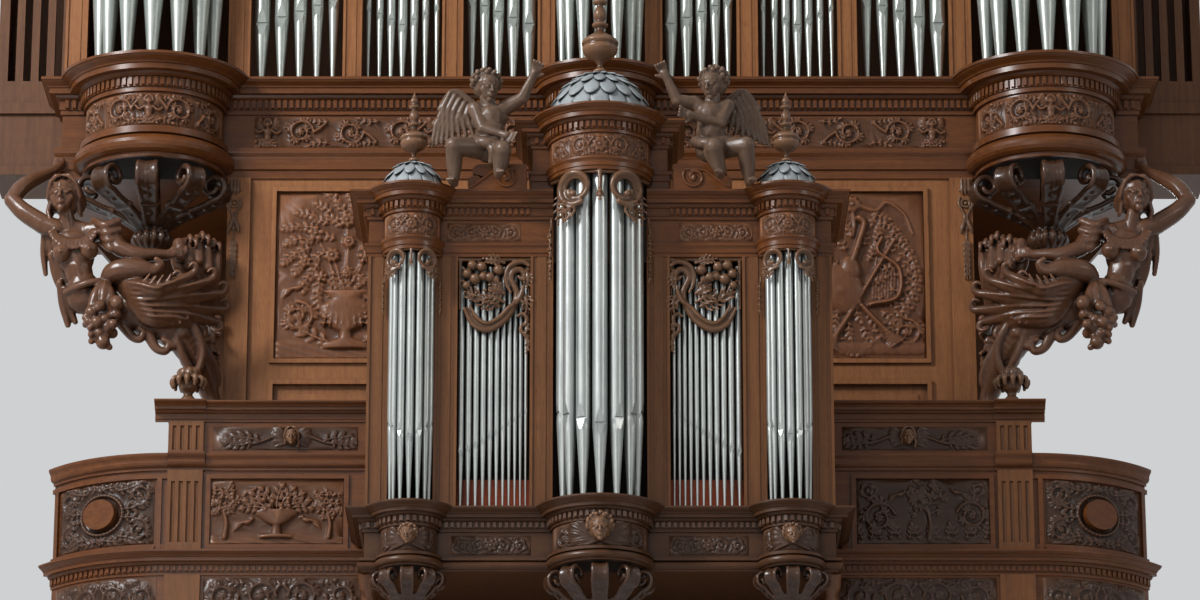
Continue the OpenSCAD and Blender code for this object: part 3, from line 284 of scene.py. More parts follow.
cover(pine, "gallery_soffit", "gallery_joists", "gallery_deck")
cover(oak_rail, "gallery_beams", "gallery_cornice", "handrail", "upper_screen", "parapet_panels",
      "parapet_end_left", "parapet_end_right", "front_head", "cherub_brackets", "great_entablature",
      "great_flat_heads", "great_tower_heads")
cover(oak_front_post, "pilasters", "front_posts")
cover(oak_base, "front_base")
cover(oak_board, "front_floor")
cover(oak_side_y, "front_struts")
cover(lacquer, "front_windchest")
cover(painted_shade_oak, "front_back_wall")
cover(oak_post, "stage_front", "great_posts")
cover(oak_side, "front_side_walls", "stage_side_walls", "stage_back_wall", "rear_brackets", "great_walls",
      "great_wings")
cover(oak_dark, "screen_urns", "front_culots", "great_culots")
cover(oak_carved, "front_finials", "front_tower_shades", "front_flat_shades", "cherub_left", "cherub_right",
      "caryatid_left", "caryatid_right", "great_finials", "great_shades")


# Front pipes: planed tin with lead, a pale grey metal with a faint green and blue tint,
# softly streaked along the body where the sheet was hammered, rolled and soldered.
def tin(name, pale_tone, grey_tone, rough):
    metal = Finish(name)
    along = metal.stretched((60.0, 60.0, 1.6))
    streaks = metal.noise(along, 1.0, 3.0, 0.6)
    cloud = metal.noise(metal.place, 3.2, 3.0, 0.5)
    tone = metal.ramp(streaks * 0.6 + cloud * 0.4, [(0.3, grey_tone), (0.7, pale_tone)])
    # Painted shade: the metal darkens where other pipes or boards come near, between and behind the pipes.
    hollow = metal.node("ShaderNodeAmbientOcclusion", {"samples": 4}, {"Distance": 0.05}, "AO")
    shade = metal.ramp(hollow, [(0.2, (0.12, 0.13, 0.13)), (0.8, (1.0, 1.0, 1.0))])
    metal.wear("Base Color", metal.blend(0.8, tone, shade, "MULTIPLY"))
    metal.wear("Metallic", 0.62)
    metal.wear("Roughness", rough + 0.16 * (streaks - 0.5))
    metal.wear("Normal", metal.bump(streaks, 0.12, 0.001))
    return metal.material


tin_front = tin("pipe_metal_front", (0.490, 0.510, 0.485), (0.320, 0.340, 0.330), 0.30)
tin_great = tin("pipe_metal_great", (0.410, 0.435, 0.400), (0.280, 0.303, 0.280), 0.36)
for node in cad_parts:
    if node.endswith("_pipes"):
        cover(tin_front if node.startswith("front") else tin_great, node)


# Winged figures under the great towers: carved from glued-up oak and waxed. Each leans out from
# the corner post, one hand on the entablature, and ends in a leg wrapped in acanthus.
class Carving:
    # Rough blocking out in round limbs, balls and leaf fingers, which are then smoothed into one skin.
    fine = bmesh.new()
    bmesh.ops.create_icosphere(fine, subdivisions=2, radius=1.0)
    knob = np.array([tuple(corner.co) for corner in fine.verts])
    knob_faces = np.array([[corner.index for corner in face.verts] for face in fine.faces])
    fine.free()

    def __init__(self):
        self.lumps = []

    def limb(self, a, ra, b, rb):
        a, b = np.array(a), np.array(b)
        front = (self.knob @ (b - a) > 0.0)[:, None]
        self.lumps.append(np.where(front, b + self.knob * rb, a + self.knob * ra))

    def ball(self, at, r, squash=(1.0, 1.0, 1.0)):
        self.lumps.append(np.array(at) + self.knob * r * squash)

    def along(self, points, widths, steps=None):
        path = flowing(points, steps or 6 * (len(points) - 1))
        size = flowing([(w, 0.0, 0.0) for w in widths], len(path) - 1)
        for i in range(len(path) - 1):
            self.limb(path[i], size[i][0], path[i + 1], size[i + 1][0])

    def acanthus(self, points, width, body, face, lobes=4, curl=1.0):
        # A leaf: a rib with fingers on both sides, each finger and the tip rolled towards the given face.
        face = Vector(face).normalized()
        rib = [Vector(p) for p in flowing(points, 2 * lobes + 2)]
        n = len(rib) - 1
        for i in range(n):
            self.limb(rib[i], body * (1.15 - 0.5 * i / n), rib[i + 1], body * (1.15 - 0.5 * (i + 1) / n))
        last = (rib[-1] - rib[-2]).normalized()
        top = rib[-1] + last * width * 0.16 + face * width * 0.18 * curl
        self.limb(rib[-1], body * 0.75, top, body * 0.75)
        self.limb(top, body * 0.75, top - last * width * 0.16 + face * width * 0.12 * curl, body * 0.5)
        for j in range(1, lobes + 1):
            i = 2 * j
            go = (rib[i] - rib[i - 1]).normalized()
            out = go.cross(face).normalized()
            reach = width * (0.45 + 0.55 * math.sin(math.pi * (0.2 + 0.7 * j / lobes)))
            for way in (-1.0, 1.0):
                knee = rib[i] + out * way * reach * 0.30 + go * reach * 0.12 - face * body * 0.4
                tip = rib[i] + out * way * reach * 0.52 + go * reach * 0.42 + face * body * 0.5 * curl
                self.limb(rib[i], body * 0.85, knee, body * 0.85)
                self.limb(knee, body * 0.85, tip, body * 0.6)

    def cluster(self, top, length, width, seed, r0=0.05, r1=0.07):
        # A hanging bunch of fruit and leaves, widest a third of the way down.
        rng = np.random.default_rng(seed)
        top = np.array(top)
        for k in range(22):
            t = (k + 0.5) / 22
            half = width / 2 * math.sin(math.pi * min(1.0, 0.12 + 0.95 * t)) ** 0.7
            spot = top + np.array([rng.uniform(-1, 1) * half, rng.uniform(-0.5, 0.2) * half, -t * length])
            if k % 3 == 0:
                away = np.array([np.sign(spot[0] - top[0]) * 0.10, -0.02, -0.09])
                self.limb(spot, 0.036, spot + away * 0.6, 0.034)
            self.ball(spot, rng.uniform(r0, r1))
        self.ball(top + np.array([0.0, -0.02, -length]), r1 * 1.05)

    def skin(self, name, voxel, rounds, finish, stands_for=(), mirrored=False):
        rough = bpy.data.meshes.new(name)
        count = len(self.knob)
        faces = np.concatenate([self.knob_faces + count * i for i in range(len(self.lumps))])
        rough.from_pydata(np.concatenate(self.lumps), [], faces)
        holder = bpy.data.objects.new(name + "_block", rough)
        scene.collection.objects.link(holder)
        knife = holder.modifiers.new("cut", "REMESH")
        knife.mode = "VOXEL"
        knife.voxel_size = voxel
        rasp = holder.modifiers.new("smooth", "SMOOTH")
        rasp.factor = 0.5
        rasp.iterations = rounds
        thin = holder.modifiers.new("thin", "DECIMATE")
        thin.ratio = 0.34
        cut = bpy.data.meshes.new_from_object(holder.evaluated_get(bpy.context.evaluated_depsgraph_get()))
        bpy.data.objects.remove(holder)
        cut.name = name
        swept = bmesh.new()
        swept.from_mesh(cut)
        crumb = 40
        unseen = set(swept.verts)
        while unseen:
            island = [unseen.pop()]
            for corner in island:
                for edge in corner.link_edges:
                    other = edge.other_vert(corner)
                    if other in unseen:
                        unseen.remove(other)
                        island.append(other)
            if len(island) < crumb:
                bmesh.ops.delete(swept, geom=island, context="VERTS")
        if mirrored:
            bmesh.ops.scale(swept, verts=swept.verts, vec=(-1.0, 1.0, 1.0))
        swept.to_mesh(cut)
        swept.free()
        settle(name, cut, finish, stands_for)


def flowing(points, steps):
    # Points along one smooth curve through the given ones.
    known = np.array([tuple(p) for p in points], dtype=float)
    known = np.vstack([2 * known[0] - known[1], known, 2 * known[-1] - known[-2]])
    spans = len(points) - 1
    where = np.linspace(0.0, spans, steps + 1)
    k = np.minimum(where.astype(int), spans - 1)
    t = (where - k)[:, None]
    a, b, c, d = known[k], known[k + 1], known[k + 2], known[k + 3]
    bend, twist = 2 * a - 5 * b + 4 * c - d, 3 * b - a - 3 * c + d
    return 0.5 * (2 * b + (c - a) * t + bend * t ** 2 + twist * t ** 3)


def settle(name, mesh, finish, stands_for=(), smooth=True):
    # Doubles merged, pinholes closed, faces turned outwards, then the piece is hung in the scene.
    touching = 0.00005
    shape = bmesh.new()
    shape.from_mesh(mesh)
    bmesh.ops.remove_doubles(shape, verts=shape.verts, dist=touching)
    bmesh.ops.dissolve_degenerate(shape, edges=shape.edges, dist=touching)
    bmesh.ops.holes_fill(shape, edges=[edge for edge in shape.edges if edge.is_boundary])
    bmesh.ops.recalc_face_normals(shape, faces=shape.faces)
    shape.to_mesh(mesh)
    shape.free()
    mesh.materials.clear()
    mesh.materials.append(finish)
    if smooth:
        mesh.shade_smooth()
    piece = bpy.data.objects.new(name, mesh)
    scene.collection.objects.link(piece)
    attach(piece, "root")
    for node in stands_for:
        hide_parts(node)


def straight_up(z):
    return Vector((0.0, 0.0, z))


# Turn from one leaf to the next round a stem, which spreads leaves and curls evenly.
leaf_turn = 2.39996


def calm_head(name, at, size, turn, nod, hair, finish, mirrored):
    # An ideal head on the usual proportions: eyes half way, nose and mouth below them by thirds.
    figure = Carving()
    pose = Matrix.Translation(Vector(at)) @ Matrix.Rotation(turn, 4, "Z")
    pose = pose @ Matrix.Rotation(nod, 4, "X") @ Matrix.Scale(size, 4)

    def put(a, ra, b=None, rb=None):
        first = pose @ Vector(a)
        last = pose @ Vector(b) if b else first + straight_up(0.0001)
        figure.limb(first, ra * size, last, (rb or ra) * size)

    put((0.0, 0.05, 0.10), 0.41, (0.0, 0.10, 0.02), 0.38)
    put((0.0, -0.10, 0.12), 0.325, (0.0, -0.17, -0.24), 0.215)
    put((0.0, -0.29, -0.385), 0.10)
    for way in (-1.0, 1.0):
        put((way * 0.17, -0.20, -0.10), 0.135, (way * 0.10, -0.24, -0.28), 0.10)
        put((way * 0.06, -0.385, 0.085), 0.042, (way * 0.22, -0.30, 0.075), 0.042)
        put((way * 0.125, -0.352, -0.005), 0.052)
        put((way * 0.075, -0.385, 0.022), 0.022, (way * 0.185, -0.355, 0.012), 0.022)
        put((way * 0.08, -0.37, -0.222), 0.030, (0.0, -0.405, -0.212), 0.040)
        put((way * 0.065, -0.37, -0.266), 0.034, (0.0, -0.40, -0.268), 0.044)
    put((0.0, -0.39, 0.07), 0.038, (0.0, -0.485, -0.115), 0.048)
    put((0.05, -0.42, -0.135), 0.034, (-0.05, -0.42, -0.135), 0.034)
    if hair == "waves":
        put((0.0, 0.14, 0.14), 0.43, (0.0, 0.20, -0.05), 0.38)
        for row in range(7):
            for way in (-1.0, 1.0):
                wave = [(way * 0.02, -0.27 + 0.10 * row, 0.49 - 0.008 * row * row),
                        (way * 0.16, -0.29 + 0.11 * row, 0.46 - 0.01 * row * row),
                        (way * 0.30, -0.24 + 0.11 * row, 0.33), (way * 0.36, -0.14 + 0.10 * row, 0.17),
                        (way * 0.40, -0.05 + 0.09 * row, 0.0), (way * 0.34, 0.10 + 0.07 * row, -0.16)]
                width = [0.040, 0.066, 0.060, 0.068, 0.058, 0.045]
                for n in range(5):
                    put(wave[n], width[n], wave[n + 1], width[n + 1])
        for lock in range(3):
            back = 0.12 * lock
            put((0.34 - 0.03 * lock, 0.02 + back, -0.10), 0.075, (0.40, 0.04 + back, -0.34), 0.070)
            put((0.40, 0.04 + back, -0.34), 0.070, (0.34 + 0.04 * lock, back, -0.56), 0.050)
            put((-0.34 + 0.03 * lock, 0.06 + back, -0.10), 0.075, (-0.36, 0.12 + 0.10 * lock, -0.36), 0.060)
        put((0.0, 0.36, 0.02), 0.26)
    else:
        put((0.0, 0.16, 0.15), 0.43, (0.0, 0.17, 0.0), 0.40)
        for k in range(44):
            a = k * leaf_turn
            up = 1.0 - (k + 0.5) / 44 * 1.35
            ring = math.sqrt(max(0.0, 1.0 - up * up))
            spot = (0.42 * ring * math.cos(a), 0.13 + 0.43 * ring * math.sin(a), 0.13 + 0.42 * up)
            if spot[1] > -0.10 or spot[2] > 0.40:
                put(spot, 0.092, (spot[0] * 1.10, spot[1] * 1.08 - 0.03, spot[2] + 0.045), 0.078)
    figure.skin(name, 0.0200 * size, 2, finish, (), mirrored)


def winged_figure(side, mirrored):
    figure = Carving()
    figure.ball((4.885, 1.49, 4.41), 0.195, (1.0, 0.8, 0.9))
    figure.ball((4.915, 1.445, 4.50), 0.155, (1.0, 0.9, 1.1))
    figure.limb((4.935, 1.46, 4.56), 0.135, (4.965, 1.44, 4.68), 0.142)
    figure.ball((4.985, 1.43, 4.79), 0.185, (0.98, 0.72, 1.0))
    figure.ball((5.015, 1.43, 4.93), 0.200, (1.05, 0.62, 0.80))
    figure.limb((4.86, 1.43, 5.02), 0.085, (5.16, 1.43, 5.05), 0.085)
    figure.limb((5.045, 1.44, 5.10), 0.09, (5.22, 1.43, 5.07), 0.07)
    figure.limb((5.045, 1.44, 5.10), 0.09, (4.84, 1.42, 5.05), 0.07)
    figure.ball((5.110, 1.320, 4.80), 0.092)
    figure.ball((4.850, 1.320, 4.825), 0.092)
    figure.ball((5.118, 1.232, 4.79), 0.020)
    figure.ball((4.845, 1.232, 4.815), 0.020)
    figure.limb((5.045, 1.43, 5.02), 0.082, (5.090, 1.39, 5.22), 0.072)
    figure.limb((5.18, 1.43, 5.07), 0.105, (5.315, 1.44, 5.13), 0.100)
    figure.along([(5.315, 1.44, 5.13), (5.50, 1.47, 5.26), (5.630, 1.52, 5.40)], [0.100, 0.092, 0.078])
    figure.along([(5.630, 1.52, 5.40), (5.52, 1.60, 5.58), (5.29, 1.84, 5.80)], [0.078, 0.082, 0.050])
    figure.limb((5.29, 1.84, 5.80), 0.052, (5.24, 1.895, 5.87), 0.050)
    for k in range(4):
        figure.limb((5.205 + 0.025 * k, 1.905, 5.89), 0.021, (5.205 + 0.022 * k, 1.925, 5.965), 0.018)
    figure.limb((4.86, 1.43, 5.04), 0.105, (4.75, 1.41, 5.06), 0.102)
    figure.along([(4.75, 1.41, 5.06), (4.64, 1.37, 4.95), (4.56, 1.31, 4.84)], [0.102, 0.095, 0.082])
    figure.along([(4.56, 1.31, 4.84), (4.38, 1.30, 4.775), (4.12, 1.38, 4.80)], [0.082, 0.078, 0.052])
    figure.limb((4.12, 1.38, 4.80), 0.055, (4.06, 1.38, 4.815), 0.050)
    for k in range(4):
        figure.limb((4.07, 1.36, 4.785 + 0.022 * k), 0.022, (3.98, 1.39, 4.79 + 0.022 * k), 0.019)
    for k in range(15):
        a = math.radians(197 + k * 10.4)
        spot = Vector((5.005 + 0.190 * math.cos(a), 1.345 - 0.045 * abs(math.sin(a)),
                       5.07 + 0.16 * math.sin(a)))
        figure.limb(spot, 0.025, spot + Vector((0.04 * math.cos(a), -0.03, 0.075 * math.sin(a))), 0.022)
    leg = [(4.82, 1.50, 4.41), (4.44, 1.50, 4.265), (4.12, 1.54, 4.14), (3.94, 1.60, 4.00),
           (3.81, 1.72, 3.78), (3.71, 1.81, 3.56), (3.675, 1.84, 3.40)]
    figure.along(leg, [0.165, 0.190, 0.180, 0.155, 0.135, 0.092, 0.088], 30)
    figure.ball((3.965, 1.49, 4.055), 0.095)
    figure.limb((3.675, 1.82, 3.40), 0.085, (3.72, 1.75, 3.365), 0.070)
    lobes = ((4.02, 1.24, 4.47), (3.87, 1.24, 4.55), (3.70, 1.34, 4.53), (3.60, 1.46, 4.44),
             (3.585, 1.58, 4.31), (3.65, 1.60, 4.20), (3.80, 1.54, 4.12))
    for k, tip in enumerate(lobes):
        t = k / 6
        start = Vector((4.62, 1.42, 4.54)).lerp(Vector((4.42, 1.40, 4.26)), t)
        over = Vector((4.38, 1.27, 4.45)).lerp(Vector((4.24, 1.34, 4.15)), t)
        tip = Vector(tip)
        low = over.lerp(tip, 0.58) + Vector((0.0, -0.05, -0.075 + 0.016 * k))
        go = (tip - low).normalized()
        rise = Vector((0.0, -0.45, 0.90 if k < 5 else -0.90))
        figure.along([start, over, low, tip], [0.060, 0.082, 0.074, 0.042], 18)
        curl = [tip + go * ahead + rise * above for ahead, above in
                ((0.0, 0.0), (0.045, 0.020), (0.055, 0.070), (0.020, 0.105), (-0.020, 0.090))]
        figure.along(curl, [0.042, 0.036, 0.027, 0.019, 0.012], 12)
        vein = ((start, 0.054), (over, 0.090), (low, 0.082), (tip, 0.030))
        figure.along([spot + Vector((0.0, -out, 0.0)) for spot, out in vein], [0.014, 0.018, 0.018, 0.012],
                     16)
        for part, long in ((0.25, 0.085), (0.60, 0.075), (0.92, 0.055)):
            at = over.lerp(low, part) + Vector((0, -0.066, 0.012))
            figure.along([at, at + go * long * 0.6 + rise * 0.030, at + go * long + rise * 0.062],
                         [0.020, 0.018, 0.010], 6)
    figure.along([(4.70, 1.43, 4.52), (4.60, 1.31, 4.60), (4.40, 1.27, 4.62), (4.24, 1.27, 4.60),
                  (4.16, 1.24, 4.66), (4.20, 1.21, 4.70)], [0.06, 0.11, 0.105, 0.075, 0.04, 0.026], 26)
    root = Vector((3.72, 1.84, 4.42))
    for tip, bend in (((4.02, 1.56, 4.92), 0.16), ((3.93, 1.62, 5.02), 0.12), ((3.82, 1.70, 5.08), 0.06),
                      ((3.72, 1.80, 5.04), 0.02)):
        mid = root.lerp(Vector(tip), 0.5) + Vector((bend * 0.5, -0.10, 0.04))
        tip = Vector(tip)
        for shift in (-0.045, 0.0, 0.045):
            end = tip + Vector((shift * 1.2, 0.0, -abs(shift) * 0.8))
            hook = ((0.0, 0.0, 0.0), (-0.01, -0.045, 0.03), (-0.02, -0.085, 0.0), (-0.02, -0.080, -0.045),
                    (-0.01, -0.050, -0.055))
            figure.along([root, mid + Vector((shift * 1.3, 0.0, 0.0)), end], [0.040, 0.050, 0.034], 12)
            figure.along([end + Vector(bent) for bent in hook], [0.034, 0.029, 0.022, 0.016, 0.011], 10)
    for k in range(4):
        spot = Vector((4.02 - 0.085 * k, 1.54 + 0.05 * k, 4.96 - 0.05 * (k % 2)))
        figure.limb(spot, 0.065, spot + Vector((-0.02, -0.06, -0.15)), 0.055)
    rng = np.random.default_rng(4)
    for k in range(16):
        figure.ball((3.70 + rng.uniform(-0.05, 0.06), 1.84 + rng.uniform(-0.04, 0.03), 4.34 - 0.033 * k),
                    rng.uniform(0.038, 0.052))
    for k in range(5):
        figure.limb((3.71, 1.82, 4.30 - 0.10 * k), 0.03, (3.71 + 0.08 * (-1) ** k, 1.78, 4.24 - 0.10 * k),
                    0.022)
    for mid, low, r1, r2 in (((4.76, 1.27, 4.38), (4.80, 1.25, 4.22), 0.055, 0.050),
                             ((4.64, 1.27, 4.38), (4.60, 1.24, 4.22), 0.055, 0.050),
                             ((4.69, 1.25, 4.40), (4.70, 1.24, 4.22), 0.045, 0.045)):
        figure.along([(4.69, 1.33, 4.53), mid, low], [0.035, r1, r2])
    figure.cluster((4.68, 1.25, 4.30), 0.42, 0.38, 11, 0.046, 0.068)
    figure.along([(4.67, 1.35, 4.53), (4.80, 1.29, 4.50), (4.95, 1.31, 4.46), (5.07, 1.42, 4.44)],
                 [0.032, 0.036, 0.034, 0.030])
    for low in ([(4.62, 1.45, 4.25), (4.52, 1.43, 4.12), (4.43, 1.42, 4.00), (4.35, 1.41, 3.97),
                 (4.32, 1.41, 4.04), (4.36, 1.40, 4.07)],
                [(4.35, 1.47, 4.18), (4.27, 1.45, 4.02), (4.20, 1.44, 3.89), (4.11, 1.44, 3.86),
                 (4.08, 1.44, 3.94), (4.13, 1.43, 3.97)],
                [(4.20, 1.50, 4.13), (4.12, 1.47, 4.00), (4.05, 1.46, 3.91), (4.03, 1.46, 3.97)]):
        figure.along(low, [0.075, 0.060, 0.045, 0.040, 0.036, 0.030][:len(low)])
    for calf in ([(4.04, 1.44, 4.26), (3.87, 1.46, 4.13), (3.77, 1.53, 3.93), (3.80, 1.56, 3.72),
                  (3.88, 1.58, 3.64), (3.90, 1.58, 3.70)],
                 [(3.97, 1.46, 4.20), (4.01, 1.45, 4.02), (3.96, 1.49, 3.86), (3.88, 1.56, 3.72)],
                 [(3.76, 1.66, 3.98), (3.67, 1.74, 3.80), (3.645, 1.78, 3.66), (3.70, 1.76, 3.60),
                  (3.72, 1.74, 3.66)]):
        figure.along(calf, [0.036, 0.044, 0.044, 0.042, 0.034, 0.026][:len(calf)])
    for x0, z0, x1, z1, w in ((5.31, 5.05, 5.29, 4.68, 0.036), (5.23, 4.84, 5.13, 4.50, 0.045),
                              (5.14, 4.56, 5.06, 4.17, 0.044), (5.09, 4.50, 4.99, 4.20, 0.040)):
        figure.along([(x0, 1.50, z0), (x0 + (x1 - x0) * 0.5 + 0.01, 1.56, (z0 + z1) / 2), (x1, 1.60, z1)],
                     [w * 0.8, w, w * 0.7])
    figure.along([(5.25, 1.50, 5.06), (5.17, 1.56, 4.78), (5.05, 1.60, 4.50), (4.93, 1.56, 4.36)],
                 [0.06, 0.08, 0.09, 0.09])
    for k in range(4):
        figure.along([(4.82 - 0.03 * k, 1.37, 5.14 - 0.075 * k), (4.70 - 0.02 * k, 1.28, 5.06 - 0.075 * k),
                      (4.59 - 0.01 * k, 1.33, 5.12 - 0.09 * k)], [0.036, 0.045, 0.040])
    calm_head("winged_figure_head_" + side, (5.110, 1.365, 5.370), 0.385, math.radians(8.0),
              math.radians(-4.0), "waves", oak_figure, mirrored)
    figure.skin("winged_figure_" + side, 0.0105, 2, oak_figure, ("caryatid_" + side,), mirrored)


oak_figure = oak("oak_figure", (0.165, 0.071, 0.035), (0.085, 0.035, 0.018), "z",
                 rough=0.34, hollow_shading=0.95, coat=0.24, figure=0.6, reach=0.11, sheen_wear_and_crease_shade=0.8)
winged_figure("right", False)
winged_figure("left", True)


# Seated winged children on the head of the front case: carved in the round from one block each,
# wings and raised arm dowelled on, and screwed down to the scrolled brackets.
def child(side, mirrored, joints):
    figure = Carving()
    j = {key: Vector((x, y, z)) for key, (x, y, z) in joints.items()}
    hip, chest = j["hip"], j["chest"]
    figure.ball(hip, 0.150, (1.0, 0.9, 0.9))
    figure.ball(hip.lerp(chest, 0.45) + Vector((0, -0.035, 0)), 0.142, (1.0, 0.95, 1.0))
    figure.limb(hip, 0.125, chest, 0.13)
    figure.ball(chest, 0.140, (1.1, 0.8, 0.9))
    figure.limb(chest, 0.075, j["head"] + Vector((0, 0.02, -0.10)), 0.072)
    for arm in ("in", "out"):
        shoulder, elbow, hand = j[arm + "_shoulder"], j[arm + "_elbow"], j[arm + "_hand"]
        knee, foot = j[arm + "_knee"], j[arm + "_foot"]
        figure.limb(chest, 0.08, shoulder, 0.074)
        figure.limb(shoulder, 0.074, elbow, 0.056)
        figure.limb(elbow, 0.058, hand, 0.036)
        reach = (hand - elbow).normalized()
        aside = reach.cross(Vector((0, 1, 0))).normalized()
        figure.limb(hand, 0.038, hand + reach * 0.045, 0.044)
        figure.limb(hand + reach * 0.02 + aside * 0.03, 0.020, hand + reach * 0.06 + aside * 0.075, 0.015)
        for k in (-1.5, -0.5, 0.5, 1.5):
            start = hand + aside * 0.020 * k + reach * 0.070
            knuckle = start + reach * 0.045 + aside * 0.008 * k + Vector((0, -0.012, 0))
            tip = start + reach * 0.066 + aside * 0.010 * k + Vector((0, -0.036, 0))
            figure.limb(start, 0.0165, knuckle, 0.0145)
            figure.limb(knuckle, 0.0145, tip, 0.012)
        figure.limb(hip + Vector((0.06 if knee.x > hip.x else -0.06, -0.02, -0.01)), 0.110, knee, 0.084)
        figure.along([knee, knee.lerp(foot, 0.45) + Vector((0, 0.03, 0)), foot], [0.080, 0.078, 0.046])
        toe = foot + Vector((0.03 if arm == "out" else -0.02, -0.115, -0.028))
        figure.limb(foot + Vector((0, 0.025, -0.012)), 0.042, toe, 0.032)
        for k in range(4):
            figure.limb(toe + Vector((-0.024 + 0.016 * k, -0.012, 0)), 0.0145,
                        toe + Vector((-0.026 + 0.018 * k, -0.040 + 0.006 * k, -0.004)), 0.0125)
    girdle = ((-0.14, -0.06, 0.05), (-0.05, -0.15, 0.0), (0.06, -0.15, 0.01), (0.16, -0.04, 0.08))
    figure.along([hip + Vector(bent) for bent in girdle], [0.05, 0.055, 0.055, 0.05])
    fall = ((0.0, -0.15, 0.0), (-0.03, -0.18, -0.09), (-0.01, -0.17, -0.18))
    figure.along([hip + Vector(bent) for bent in fall], [0.05, 0.045, 0.025])
    root = chest + Vector((0.05, 0.12, 0.02))
    top, tip = j["wing_top"], j["wing_tip"]
    spine = [root, root.lerp(top, 0.6) + Vector((0, 0.02, 0.05)), top,
             top.lerp(tip, 0.3) + Vector((0.05, 0, 0))]
    figure.along(spine, [0.05, 0.045, 0.04, 0.035])
    for row, (count, reach) in enumerate(((6, 0.45), (8, 0.75), (9, 1.0))):
        for k in range(count):
            t = k / (count - 1)
            start = root.lerp(top, 0.35 + 0.65 * t) + Vector((0.02 * t, -0.012 * (2 - row), 0.0))
            drop = tip.lerp(chest + Vector((0.10, 0.12, -0.10)), 1.0 - t) - start
            end = start + drop * reach + Vector((0.03 * math.sin(math.pi * t), 0, 0))
            bend = start.lerp(end, 0.6) + Vector((0.03 * reach, 0, 0))
            figure.limb(start, 0.024, bend, 0.028)
            figure.limb(bend, 0.028, end, 0.018)
    turn = math.radians(-24.0 if mirrored else -28.0)
    calm_head("seated_child_head_" + side, j["head"], 0.290, turn, math.radians(14.0), "tufts", oak_child,
              mirrored)
    figure.skin("seated_child_" + side, 0.0085, 2, oak_child, ("cherub_" + side,), mirrored)


oak_child = oak("oak_child", (0.173, 0.102, 0.063), (0.096, 0.055, 0.037), "z",
                rough=0.40, hollow_shading=0.95, coat=0.15, figure=0.6, reach=0.08, sheen_wear_and_crease_shade=0.8)
child("right", False, {
    "hip": (1.00, -1.14, 4.96), "chest": (1.00, -1.17, 5.28), "head": (1.02, -1.20, 5.555),
    "in_shoulder": (0.85, -1.17, 5.39), "in_elbow": (0.70, -1.22, 5.40), "in_hand": (0.60, -1.26, 5.60),
    "out_shoulder": (1.15, -1.17, 5.36), "out_elbow": (1.08, -1.28, 5.16), "out_hand": (0.84, -1.36, 5.20),
    "in_knee": (1.02, -1.42, 4.88), "in_foot": (1.08, -1.34, 4.66),
    "out_knee": (1.31, -1.32, 4.93), "out_foot": (1.34, -1.24, 4.62),
    "wing_top": (1.31, -1.02, 5.54), "wing_tip": (1.53, -1.00, 5.04)})
child("left", True, {
    "hip": (0.99, -1.14, 4.96), "chest": (0.98, -1.17, 5.25), "head": (1.02, -1.20, 5.53),
    "in_shoulder": (0.83, -1.17, 5.36), "in_elbow": (0.70, -1.22, 5.42), "in_hand": (0.61, -1.26, 5.61),
    "out_shoulder": (1.13, -1.17, 5.33), "out_elbow": (1.05, -1.27, 5.11), "out_hand": (0.88, -1.34, 5.03),
    "in_knee": (0.87, -1.40, 4.86), "in_foot": (0.91, -1.34, 4.66),
    "out_knee": (1.31, -1.32, 4.93), "out_foot": (1.31, -1.24, 4.62),
    "wing_top": (1.34, -1.02, 5.54), "wing_tip": (1.52, -1.00, 5.04)})


